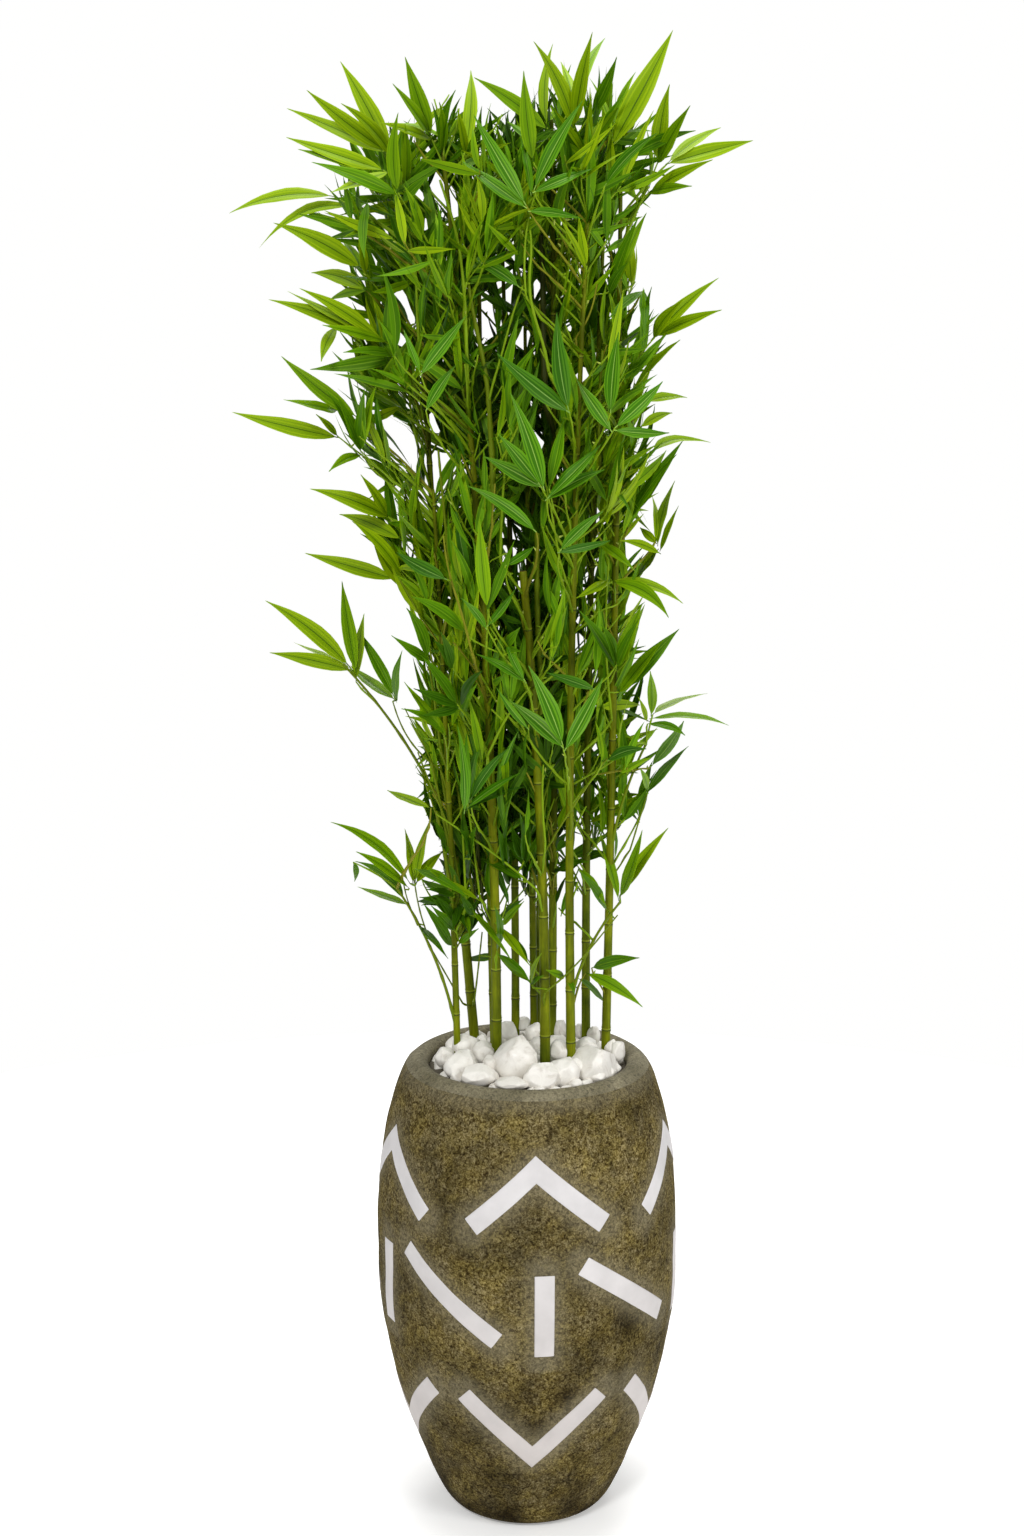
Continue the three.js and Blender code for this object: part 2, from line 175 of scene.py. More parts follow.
def stone_material():
    m, t, b = principled("fibrestone")
    at = position(t)
    cloud = noise_tex(t, at, 6.0, 5.0, 0.6, 0.3)
    tint = noise_tex(t, at, 30.0, 5.0, 0.7, 0.6)
    patch = noise_tex(t, at, 24.0, 6.0, 0.7, 0.7)
    crack = noise_tex(t, at, 92.0, 3.0, 0.55, 1.4)
    crumb = noise_tex(t, at, 215.0, 4.0, 0.7, 0.6)
    grain = noise_tex(t, at, 430.0, 2.0, 0.6)
    pit = noise_tex(t, at, 130.0, 3.0, 0.6, 0.8)
    base = mix(
        t,
        "MIX",
        ramp(t, tint, [(0.40, grey(0.0)), (0.60, grey(1.0))]),
        lin(97, 87, 57),
        lin(100, 88, 47),
    )
    for strength, source, stops in (
        (0.9, cloud, [(0.36, grey(0.6)), (0.5, grey(1.0)), (0.64, grey(1.22))]),
        (0.9, patch, [(0.36, grey(0.55)), (0.5, grey(1.0)), (0.62, grey(1.18))]),
        (0.9, crack, [(0.43, grey(1.0)), (0.475, (0.38, 0.33, 0.22, 1.0)), (0.5, (0.46, 0.41, 0.30, 1.0)), (0.55, grey(1.06))]),
        (0.95, crumb, [(0.36, (0.27, 0.22, 0.12, 1.0)), (0.46, grey(0.84)), (0.53, (1.18, 1.2, 1.26, 1.0)), (0.64, (1.3, 1.33, 1.5, 1.0))]),
        (0.9, grain, [(0.34, (0.54, 0.48, 0.36, 1.0)), (0.5, grey(1.05)), (0.64, (1.6, 1.64, 1.85, 1.0))]),
        (0.9, pit, [(0.30, (0.26, 0.2, 0.1, 1.0)), (0.36, grey(1.0))]),
    ):
        base = mix(t, "MULTIPLY", strength, base, ramp(t, source, stops))
    # Painted shade: the stone is darkened in the dents and towards the bottom, by a vertex attribute.
    stain = node(t, "ShaderNodeAttribute", attribute_name="stain")
    base = mix(t, "MIX", stain.outputs["Fac"], base, mix(t, "MULTIPLY", 1.0, base, lin(118, 110, 88)))
    halo = node(t, "ShaderNodeAttribute", attribute_name="halo")
    soft = mix(
        t,
        "MULTIPLY",
        0.75,
        lin(116, 109, 88),
        ramp(t, crumb, [(0.36, grey(0.5)), (0.5, grey(1.0)), (0.64, grey(1.35))]),
    )
    base = mix(t, "MIX", halo.outputs["Fac"], base, soft)
    t.links.new(base, b.inputs["Base Color"])
    b.inputs["Roughness"].default_value = 0.9
    b.inputs["Specular IOR Level"].default_value = 0.05
    first = bump(t, b, crumb, 0.0018, 1.0)
    bump(t, b, grain, 0.0009, 1.0, first)
    return m


def rim_material():
    m, t, b = principled("fibrestone_rim")
    at = position(t)
    cloud = noise_tex(t, at, 16.0, 4.0, 0.6)
    crumb = noise_tex(t, at, 215.0, 4.0, 0.7, 0.6)
    grain = noise_tex(t, at, 430.0, 2.0, 0.6)
    base = ramp(t, cloud, [(0.35, lin(98, 92, 70)), (0.65, lin(122, 115, 92))])
    for strength, source, stops in (
        (0.8, crumb, [(0.36, grey(0.45)), (0.46, grey(0.92)), (0.54, grey(1.08)), (0.64, grey(1.3))]),
        (0.7, grain, [(0.34, grey(0.7)), (0.5, grey(1.0)), (0.64, grey(1.3))]),
    ):
        base = mix(t, "MULTIPLY", strength, base, ramp(t, source, stops))
    t.links.new(base, b.inputs["Base Color"])
    b.inputs["Roughness"].default_value = 0.82
    b.inputs["Specular IOR Level"].default_value = 0.3
    bump(t, b, crumb, 0.0010, 0.8)
    return m


def band_material():
    m, t, b = principled("white_mineral_coat")
    at = position(t)
    cloud = noise_tex(t, at, 22.0, 4.0, 0.6)
    grain = noise_tex(t, at, 420.0, 2.0, 0.5)
    base = ramp(t, cloud, [(0.3, lin(190, 187, 187)), (0.7, lin(204, 201, 201))])
    # Painted shade: the bands are darkened towards the bottom of the pot.
    height = node(t, "ShaderNodeSeparateXYZ")
    t.links.new(at, height.inputs["Vector"])
    base = mix(t, "MULTIPLY", 1.0, base, ramp(t, height.outputs["Z"], [(0.12, (0.80, 0.76, 0.73, 1.0)), (0.5, grey(1.0))]))
    t.links.new(base, b.inputs["Base Color"])
    b.inputs["Roughness"].default_value = 0.62
    bump(t, b, grain, 0.00025, 0.5)
    return m


def pebble_material():
    m, t, b = principled("white_marble_pebble")
    at = position(t)
    vein = noise_tex(t, at, 34.0, 5.0, 0.6, 1.6)
    spot = noise_tex(t, at, 180.0, 3.0, 0.6)
    base = ramp(
        t,
        vein,
        [(0.34, lin(210, 204, 194)), (0.45, lin(229, 225, 217)), (0.7, lin(240, 237, 230))],
    )
    base = mix(
        t, "MULTIPLY", 0.2, base, ramp(t, spot, [(0.34, grey(0.8)), (0.5, grey(1.0))])
    )
    t.links.new(base, b.inputs["Base Color"])
    b.inputs["Roughness"].default_value = 0.34
    bump(t, b, spot, 0.0003, 0.4)
    return m


def cane_material(name, dark, light, brown):
    m, t, b = principled(name)
    at = position(t)
    stretch = node(t, "ShaderNodeMapping")
    stretch.inputs["Scale"].default_value = (1.0, 1.0, 0.06)
    t.links.new(at, stretch.inputs["Vector"])
    streak = noise_tex(t, stretch.outputs["Vector"], 620.0, 3.0, 0.6)
    flank = noise_tex(t, stretch.outputs["Vector"], 105.0, 2.0, 0.5)
    cloud = noise_tex(t, at, 17.0, 4.0, 0.6)
    fleck = noise_tex(t, at, 210.0, 3.0, 0.6)
    base = ramp(t, cloud, [(0.34, lin(*dark)), (0.66, lin(*light))])
    base = mix(
        t,
        "MULTIPLY",
        0.7,
        base,
        ramp(t, streak, [(0.34, grey(0.74)), (0.5, grey(1.0)), (0.66, grey(1.2))]),
    )
    base = mix(
        t,
        "MULTIPLY",
        0.9,
        base,
        ramp(t, flank, [(0.38, grey(0.62)), (0.52, grey(1.0)), (0.64, lin(255, 244, 210))]),
    )
    spots = ramp(t, fleck, [(0.66, grey(0.0)), (0.74, grey(0.55))])
    base = mix(t, "MIX", spots, base, lin(*brown))
    t.links.new(base, b.inputs["Base Color"])
    b.inputs["Roughness"].default_value = 0.5
    b.inputs["Specular IOR Level"].default_value = 0.1
    bump(t, b, streak, 0.0003, 0.7)
    return m


def filler_material():
    m, t, b = principled("filler_foam")
    at = position(t)
    base = ramp(
        t,
        noise_tex(t, at, 60.0, 5.0, 0.7),
        [(0.35, lin(66, 54, 40)), (0.65, lin(104, 88, 66))],
    )
    t.links.new(base, b.inputs["Base Color"])
    b.inputs["Roughness"].default_value = 0.95
    return m


STONE = stone_material()
RIM = rim_material()
BAND = band_material()
PEBBLE = pebble_material()
CANE_SKIN = cane_material("cane_skin", (84, 98, 3), (120, 129, 7), (112, 80, 20))
# Painted shade: a slightly darker copy of the cane skin for the canes at the back.
CANE_SHADE = cane_material("cane_skin_deep", (78, 94, 3), (112, 124, 7), (86, 66, 16))
CANE_RING = plain("cane_ring", (62, 70, 6), 0.6, 0.2)
CANE_SCAR = plain("cane_scar", (124, 134, 20), 0.5, 0.2)
CANE_END = plain("cane_cut_end", (112, 82, 40), 0.7)
FILLER = filler_material()
# Painted shade: a dark colour for the bed, so the gaps between the pebbles read as shade.
PEBBLE_GAP_SHADE = plain("pebble_bed_grit", (96, 90, 78), 0.9, 0.1)

# Leaf tones: blade, margin, midrib and lighter half of each kind of spray. The lighter half is painted light on one
# side of the fold; the kinds are dealt by place, lighter ones as painted light at the crown's outline and top, darker
# ones as painted shade inside it.
TONES = {
    "lime": ((109, 141, 3), (134, 162, 6), (58, 88, 3), (129, 158, 6)),
    "spring": ((90, 130, 3), (116, 152, 5), (54, 86, 3), (109, 146, 5)),
    "mid": ((65, 110, 3), (98, 142, 5), (106, 146, 22), (86, 132, 5)),
    "leaf": ((52, 94, 3), (78, 124, 5), (92, 130, 22), (72, 116, 5)),
    "front": ((50, 100, 4), (82, 134, 8), (122, 158, 62), (84, 134, 18)),
    "cool": ((38, 84, 6), (64, 114, 9), (104, 142, 60), (62, 110, 18)),
    "deep": ((38, 76, 2), (60, 104, 4), (66, 106, 10), (56, 96, 4)),
    "dark": ((26, 55, 2), (43, 78, 3), (50, 86, 7), (39, 70, 3)),
}
TONE_NAMES = list(TONES)
LEAF_MATS = []
for tone_name, parts in TONES.items():
    silky = tone_name in ("front", "cool")
    for part_name, rgb in zip(("blade", "margin", "midrib", "light"), parts):
        leaf_mat = plain(f"leaf_{tone_name}_{part_name}", rgb, 0.38 if silky else 0.44, 0.2)
        sheen = (0.84, 1.0, 0.45, 1.0) if silky else (0.84, 1.0, 0.3, 1.0)
        leaf_mat.node_tree.nodes["Principled BSDF"].inputs["Specular Tint"].default_value = sheen
        LEAF_MATS.append(leaf_mat)
TWIG_MATS = [
    plain("twig_green", (116, 146, 10), 0.5, 0.15),
    plain("twig_old", (120, 122, 22), 0.6, 0.15),
    plain("twig_bud", (168, 184, 76), 0.5, 0.2),
    plain("limb_olive", (98, 116, 8), 0.5, 0.12),
    plain("limb_dark", (58, 66, 12), 0.55, 0.2),
]

# ------------------------------------------------------------- mesh helpers
def make_mesh(name, verts, quads, mats, index=None, tris=None, smooth=True):
    verts = np.asarray(verts, np.float32).reshape(-1, 3)
    quads = np.asarray(quads, np.int32).reshape(-1, 4)
    tris = np.zeros((0, 3), np.int32) if tris is None else np.asarray(tris, np.int32).reshape(-1, 3)
    loops = np.concatenate([quads.ravel(), tris.ravel()]).astype(np.int32)
    sizes = np.concatenate([np.full(len(quads), 4), np.full(len(tris), 3)]).astype(np.int32)
    starts = np.concatenate([[0], np.cumsum(sizes)[:-1]]).astype(np.int32)
    mesh = bpy.data.meshes.new(name)
    mesh.vertices.add(len(verts))
    mesh.vertices.foreach_set("co", verts.ravel())
    mesh.loops.add(len(loops))
    mesh.loops.foreach_set("vertex_index", loops)
    mesh.polygons.add(len(sizes))
    mesh.polygons.foreach_set("loop_start", starts)
    mesh.polygons.foreach_set("loop_total", sizes)
    for m in mats:
        mesh.materials.append(m)
    if index is not None:
        mesh.polygons.foreach_set("material_index", np.asarray(index, np.int32))
    mesh.polygons.foreach_set("use_smooth", np.full(len(sizes), smooth, bool))
    mesh.update(calc_edges=True)
    mesh.validate(verbose=False)
    piece = bpy.data.objects.new(name, mesh)
    bpy.context.scene.collection.objects.link(piece)
    return piece


class Builder:
    """Collects tubes and other closed bits into one mesh."""

    def __init__(self):
        self.v, self.q, self.t, self.qm, self.tm, self.n = [], [], [], [], [], 0

    def add(self, verts, quads, tris, mat):
        verts = np.asarray(verts, float)
        quads = np.asarray(quads, int).reshape(-1, 4)
        tris = np.asarray(tris, int).reshape(-1, 3)
        self.v.append(verts)
        self.q.append(quads + self.n)
        self.t.append(tris + self.n)
        self.qm.append(np.broadcast_to(np.asarray(mat), (len(quads),)) if np.ndim(mat) else np.full(len(quads), mat))
        self.tm.append(np.full(len(tris), mat if np.ndim(mat) == 0 else int(np.asarray(mat)[-1])))
        self.n += len(verts)

    def tube(self, path, radii, sides=5, mat=0, end_mat=None, squash=1.0):
        path = np.asarray(path, float)
        radii = np.asarray(radii, float)
        k = len(path)
        run = np.gradient(path, axis=0)
        run /= np.linalg.norm(run, axis=1, keepdims=True) + 1e-12
        side = np.cross(run[0], [0.31, 0.83, 0.46])
        if np.linalg.norm(side) < 1e-3:
            side = np.cross(run[0], [1.0, 0.0, 0.0])
        side /= np.linalg.norm(side)
        rings = []
        ang = np.arange(sides) * 2 * math.pi / sides
        for i in range(k):
            side = side - run[i] * np.dot(side, run[i])
            side /= np.linalg.norm(side)
            other = np.cross(run[i], side)
            rings.append(
                path[i]
                + radii[i] * (np.cos(ang)[:, None] * side + squash * np.sin(ang)[:, None] * other)
            )
        verts = np.concatenate(rings + [path[:1], path[-1:]])
        a = np.arange(sides)
        b = (a + 1) % sides
        quads = np.concatenate(
            [np.stack([r * sides + a, r * sides + b, (r + 1) * sides + b, (r + 1) * sides + a], 1) for r in range(k - 1)]
        )
        first, last = k * sides, k * sides + 1
        tris = np.concatenate(
            [
                np.stack([b, a, np.full(sides, first)], 1),
                np.stack([(k - 1) * sides + a, (k - 1) * sides + b, np.full(sides, last)], 1),
            ]
        )
        self.add(verts, quads, tris, mat)
        if end_mat is not None:
            self.tm[-1] = np.concatenate([np.full(sides, self.tm[-1][0]), np.full(sides, end_mat)])

    def build(self, name, mats):
        return make_mesh(
            name,
            np.concatenate(self.v),
            np.concatenate(self.q),
            mats,
            np.concatenate(self.qm + self.tm),
            np.concatenate(self.t),
        )


def pchip(xs, ys, x):
    """A smooth curve through the points that does not overshoot."""
    xs, ys, x = (np.asarray(a, float) for a in (xs, ys, x))
    h = np.diff(xs)
    d = np.diff(ys) / h
    m = np.zeros_like(ys)
    same = d[:-1] * d[1:] > 0
    w1, w2 = 2 * h[1:] + h[:-1], h[1:] + 2 * h[:-1]
    inner = np.zeros(len(d) - 1)
    inner[same] = (w1 + w2)[same] / (w1[same] / d[:-1][same] + w2[same] / d[1:][same])
    m[1:-1] = inner
    m[0], m[-1] = d[0], d[-1]
    i = np.clip(np.searchsorted(xs, x) - 1, 0, len(h) - 1)
    s = (x - xs[i]) / h[i]
    return (
        (2 * s**3 - 3 * s**2 + 1) * ys[i]
        + (s**3 - 2 * s**2 + s) * h[i] * m[i]
        + (-2 * s**3 + 3 * s**2) * ys[i + 1]
        + (s**3 - s**2) * h[i] * m[i + 1]
    )


# ---------------------------------------------------------------------- pot
POT_HEIGHT = 0.650
PROFILE = [(0.0, 94), (0.012, 110), (0.051, 127), (0.136, 149.5), (0.249, 176.5), (0.362, 194.5),
           (0.501, 207.5), (0.638, 209), (0.774, 203), (0.855, 195), (0.935, 181), (0.985, 167)]
PROFILE_Z = [share * POT_HEIGHT for share, _ in PROFILE] + [0.6468]
PROFILE_R = [r * 0.001 for _, r in PROFILE] + [0.1595]
# Shallow dents left by the hand finish: bearing in degrees, height, reach, depth.
DENTS = [(-50, 0.330, 0.034, 0.0044), (-84, 0.222, 0.038, 0.0046), (-146, 0.40, 0.05, 0.0026), (96, 0.30, 0.04, 0.0030)]
dent_rng = random.Random(5)
DENTS += [
    (i * 47 + dent_rng.uniform(-12, 12), dent_rng.uniform(0.12, 0.52), dent_rng.uniform(0.025, 0.045),
     dent_rng.uniform(0.0016, 0.0032))
    for i in range(5)
]


def pot_radius(z):
    return pchip(PROFILE_Z, PROFILE_R, z)


def pot_point(theta, z, lift=0.0):
    """A point on the pot's outer face, with its unevenness."""
    r = float(pot_radius(z))
    x, y = math.cos(theta), math.sin(theta)
    wobble = 0.0011 * noise.noise(Vector((x * 1.6, y * 1.6, z * 6.0 + 3.0)))
    wobble += 0.0007 * noise.noise(Vector((x * r * 38, y * r * 38, z * 38)))
    wobble *= min(1.0, z / 0.05)
    for bearing, height, reach, depth in DENTS:
        turn = (theta - math.radians(bearing) + math.pi) % (2 * math.pi) - math.pi
        away = (turn * r / reach) ** 2 + ((z - height) / (reach * 1.15)) ** 2
        wobble -= depth * math.exp(-away)
    return ((r + wobble + lift) * x, (r + wobble + lift) * y, z)


# White bands: each is a bent strip on the unrolled face, bearing and height.
BAND_WIDTH = 0.0265
MOTIFS = []
for i in range(5):
    MOTIFS.append([(i * 72 - 112, 0.474), (i * 72 - 87, 0.556), (i * 72 - 60, 0.474)])
    MOTIFS.append([(i * 72 - 142, 0.424), (i * 72 - 101, 0.318)])
    MOTIFS.append([(i * 72 - 84, 0.416), (i * 72 - 84, 0.296)])
    MOTIFS.append([(i * 72 - 117, 0.232), (i * 72 - 88, 0.136), (i * 72 - 59, 0.232)])


def band_strip(path):
    """Left and right edge of a strip, mitred at its bends."""
    pts = [(math.radians(a), z) for a, z in path]
    zm = sum(z for _, z in pts) / len(pts)
    rm = float(pot_radius(zm))
    flat = np.array([(a * rm, z) for a, z in pts])
    seg = np.diff(flat, axis=0)
    seg /= np.linalg.norm(seg, axis=1, keepdims=True)
    nor = np.stack([-seg[:, 1], seg[:, 0]], 1)
    edges = []
    for sign in (1, -1):
        out = [flat[0] + sign * nor[0] * BAND_WIDTH / 2]
        for i in range(1, len(flat) - 1):
            m = nor[i - 1] + nor[i]
            m /= np.linalg.norm(m)
            out.append(flat[i] + sign * m * BAND_WIDTH / 2 / np.dot(m, nor[i]))
        out.append(flat[-1] + sign * nor[-1] * BAND_WIDTH / 2)
        edges.append(out)
    rows = []
    for i in range(len(flat) - 1):
        steps = max(4, int(np.linalg.norm(flat[i + 1] - flat[i]) / 0.004))
        for k in range(steps + (i == len(flat) - 2)):
            s = k / steps
            rows.append(
                (
                    edges[0][i] * (1 - s) + edges[0][i + 1] * s,
                    edges[1][i] * (1 - s) + edges[1][i + 1] * s,
                )
            )
    return rows, rm, flat


def build_bands():
    b = Builder()
    across = [(-0.004, -0.0009), (0.0, 0.0003), (0.05, 0.0007)] + [(k / 8, 0.00075) for k in range(1, 8)] + [
        (0.95, 0.0007), (1.0, 0.0003), (1.004, -0.0009)]
    for path in MOTIFS:
        rows, rm, _ = band_strip(path)
        verts = []
        for n_row, (left, right) in enumerate(rows):
            for s, lift in across:
                p = left * (1 - s) + right * s
                if n_row in (0, len(rows) - 1):
                    lift = min(lift, -0.0009)
                elif n_row in (1, len(rows) - 2):
                    lift = min(lift, 0.0005)
                verts.append(pot_point(p[0] / rm, p[1], lift))
        w = len(across)
        quads = [
            (r * w + c + 1, r * w + c, (r + 1) * w + c, (r + 1) * w + c + 1)
            for r in range(len(rows) - 1)
            for c in range(w - 1)
        ]
        b.add(verts, quads, [], 0)
    return b.build("pot_bands", [BAND])


def band_halo(theta, z):
    """How close a spot on the pot is to a band: 1 beside it, 0 far off."""
    best = 1.0
    r = float(pot_radius(z))
    for path in MOTIFS:
        if abs(path[0][1] - z) > 0.14:
            continue
        for (a0, z0), (a1, z1) in zip(path, path[1:]):
            turn0 = (theta - math.radians(a0) + math.pi) % (2 * math.pi) - math.pi
            if abs(turn0) > 1.2:
                continue
            rx, rz, px, pz = math.radians(a1 - a0) * r, z1 - z0, turn0 * r, z - z0
            t = max(0.0, min(1.0, (px * rx + pz * rz) / (rx * rx + rz * rz)))
            best = min(best, math.hypot(px - rx * t, pz - rz * t))
    return math.exp(-((max(0.0, best - BAND_WIDTH / 2) / 0.016) ** 2)) * 0.55


def hollow_painted_shade(theta, z):
    """Painted shade in the dents and towards the bottom, under the widest part: 0 none, 1 full."""
    r = float(pot_radius(z))
    dark = 0.0
    u, v = math.cos(theta) * r, math.sin(theta) * r
    drift = [noise.noise(Vector((u * 14, v * 14, z * 14 + k))) for k in (2.0, 9.0)]
    for bearing, height, reach, depth in DENTS:
        turn = (theta - math.radians(bearing) + math.pi) % (2 * math.pi) - math.pi
        away = ((turn * r + 0.03 * drift[0]) / (reach * 1.25)) ** 2 + ((z - height - 0.004 + 0.03 * drift[1]) / reach) ** 2
        dark = max(dark, 0.52 * depth / 0.0045 * math.exp(-away * 0.8))
    ragged = noise.noise(Vector((u * 26, v * 26, z * 26 + 7.0)))
    foot = max(0.0, 1.0 - z / 0.13) ** 2 * 0.4 + max(0.0, 1.0 - z / 0.42) * 0.34
    return min(1.0, max(0.0, (dark + foot) * (1.0 + 1.3 * ragged)))


def build_pot():
    sides, rows = 168, []
    body_z = list(np.linspace(0.0006, 0.02, 6)) + list(np.linspace(0.026, 0.640, 96))
    for z in body_z:
        rows.append(("out", z))
    lip = [(0.1595, 0.6468), (0.1562, 0.6489), (0.151, 0.6498), (0.1462, 0.6492), (0.142, 0.6476),
           (0.1386, 0.6448), (0.1370, 0.641), (0.1366, 0.634), (0.1372, 0.626), (0.1388, 0.617), (0.142, 0.606), (0.146, 0.5985)]
    verts, halo, stain = [], [], []
    verts.append((0.0, 0.0, 0.0))
    halo.append(0.0)
    for r in (0.06, 0.0925):
        for k in range(sides):
            a = 2 * math.pi * k / sides
            verts.append((r * math.cos(a), r * math.sin(a), 0.0))
            halo.append(0.0)
    for _, z in rows:
        for k in range(sides):
            a = 2 * math.pi * k / sides
            verts.append(pot_point(a, z))
            stain.append((len(verts) - 1, hollow_painted_shade(a, z)))
            lip_share = min(1.0, max(0.0, (z - 0.616) / 0.022))
            halo.append(max(band_halo(a, z) if 0.1 < z < 0.62 else 0.0, 0.5 * lip_share * lip_share * (3 - 2 * lip_share)))
    for r, z in lip:
        for k in range(sides):
            a = 2 * math.pi * k / sides
            wob = 0.0005 * noise.noise(Vector((math.cos(a) * 3, math.sin(a) * 3, z * 30)))
            verts.append(((r + wob) * math.cos(a), (r + wob) * math.sin(a), z + wob * 0.5))
            halo.append(0.0)
    verts.append((0.0, 0.0, 0.5985))
    halo.append(0.0)
    ring = lambda i: 1 + i * sides
    total = 2 + len(rows) + len(lip)
    quads, tris, index = [], [], []
    a = np.arange(sides)
    c = (a + 1) % sides
    for i in range(total - 1):
        quads.append(np.stack([ring(i) + a, ring(i) + c, ring(i + 1) + c, ring(i + 1) + a], 1))
        level = i - 2
        rim = level >= len(rows) - 1
        index += [1 if rim else 0] * sides
    tris.append(np.stack([c + 1, a + 1, np.zeros(sides, int)], 1))
    tris.append(np.stack([ring(total - 1) + a, ring(total - 1) + c, np.full(sides, len(verts) - 1)], 1))
    index += [0] * sides + [1] * sides
    piece = make_mesh("pot_shell", verts, np.concatenate(quads), [STONE, RIM], index, np.concatenate(tris))
    attribute = piece.data.attributes.new("halo", "FLOAT", "POINT")
    attribute.data.foreach_set("value", np.asarray(halo, np.float32))
    # Painted shade for each vertex of the outer face.
    painted_shade_values = np.zeros(len(verts), np.float32)
    for at, value in stain:
        painted_shade_values[at] = value
    piece.data.attributes.new("stain", "FLOAT", "POINT").data.foreach_set("value", painted_shade_values)
    return piece


pot = build_pot()
bands = build_bands()
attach(pot, "root")
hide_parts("pot")
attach(bands, "root")
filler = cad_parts["filler"]
for s in filler.material_slots:
    s.material = FILLER
if not filler.material_slots:
    filler.data.materials.append(FILLER)


# ------------------------------------------------------------------ pebbles
# The stones laid first, in millimetres: x, y, middle height, half width, half height.
LAID = [
    (-14, -62, 665, 31, 32), (17, -98, 652, 26, 20), (49, -90, 656, 20, 23), (94, -60, 655, 31, 25),
    (66, -112, 646, 9, 6), (132, -50, 647, 11, 10), (136, -10, 659, 13, 17), (46, -40, 670, 16, 15),
    (83, -15, 667, 16, 12), (93, 40, 667, 9, 13), (117, -5, 661, 10, 13), (-68, -93, 650, 26, 16),
    (-84, -6, 666, 19, 15), (-64, 20, 662, 10, 11), (-60, -30, 664, 15, 16), (-88, -62, 656, 26, 15),
    (-112, -32, 658, 15, 15), (-50, -68, 660, 12, 12), (-21, -112, 647, 22, 9), (-27, 45, 669, 15, 14),
    (46, 60, 668, 11, 15), (11, 50, 667, 12, 14), (-6, 95, 666, 11, 10), (-34, 0, 664, 9, 10),
    (74, 60, 665, 8, 11), (102, -88, 646, 12, 8),
    (126, -72, 647, 12, 11), (-100, -86, 646, 13, 10), (112, -86, 646, 10, 8), (66, -70, 656, 12, 12),
]
PEBBLE_SEED = 23


def pebble_crown(r):
    return 0.676 - 0.020 * min(1.0, r / 0.137) ** 2


def icosphere(levels):
    t = (1 + 5**0.5) / 2
    v = [(-1, t, 0), (1, t, 0), (-1, -t, 0), (1, -t, 0), (0, -1, t), (0, 1, t), (0, -1, -t), (0, 1, -t),
         (t, 0, -1), (t, 0, 1), (-t, 0, -1), (-t, 0, 1)]
    f = [(0, 11, 5), (0, 5, 1), (0, 1, 7), (0, 7, 10), (0, 10, 11), (1, 5, 9), (5, 11, 4), (11, 10, 2),
         (10, 7, 6), (7, 1, 8), (3, 9, 4), (3, 4, 2), (3, 2, 6), (3, 6, 8), (3, 8, 9), (4, 9, 5),
         (2, 4, 11), (6, 2, 10), (8, 6, 7), (9, 8, 1)]
    v = [np.array(p) / np.linalg.norm(p) for p in v]
    for _ in range(levels):
        middle, out = {}, []
        for a, b, c in f:
            ids = []
            for i, j in ((a, b), (b, c), (c, a)):
                key = (min(i, j), max(i, j))
                if key not in middle:
                    p = v[i] + v[j]
                    v.append(p / np.linalg.norm(p))
                    middle[key] = len(v) - 1
                ids.append(middle[key])
            out += [(a, ids[0], ids[2]), (b, ids[1], ids[0]), (c, ids[2], ids[1]), tuple(ids)]
        f = out
    return np.array(v), np.array(f)


BALLS = {level: icosphere(level) for level in (3, 4)}


def stone_shape(size, r, level):
    """A tumbled stone of half sizes size: worn flats, soft ridges, small pits."""
    v, f = BALLS[level]
    v = v.copy()
    for _ in range(r.randint(7, 11)):
        n = np.array([r.gauss(0, 1), r.gauss(0, 1), r.gauss(0, 1)])
        n[2] = abs(n[2])
        n /= np.linalg.norm(n)
        over = v @ n - r.uniform(0.70, 0.92)
        v -= np.where(over > 0, over * 0.93, 0.0)[:, None] * n
    shift = Vector((r.uniform(-50, 50), r.uniform(-50, 50), r.uniform(-50, 50)))
    swell = np.array(
        [
            1 + 0.10 * noise.noise(Vector(p) * 1.1 + shift) + 0.02 * noise.noise(Vector(p) * 2.4 + shift)
            + 0.004 * noise.noise(Vector(p) * 8.0 + shift)
            for p in v
        ]
    )
    v *= swell[:, None]
    v /= np.abs(v).max(axis=0)
    turn = r.uniform(0, math.pi)
    v = v * np.asarray(size)
    c, s = math.cos(turn), math.sin(turn)
    tilt = r.uniform(-0.35, 0.35)
    ct, st = math.cos(tilt), math.sin(tilt)
    x, y, z = v[:, 0] * c - v[:, 1] * s, v[:, 0] * s + v[:, 1] * c, v[:, 2]
    return np.stack([x, y * ct - z * st, y * st + z * ct], 1), f


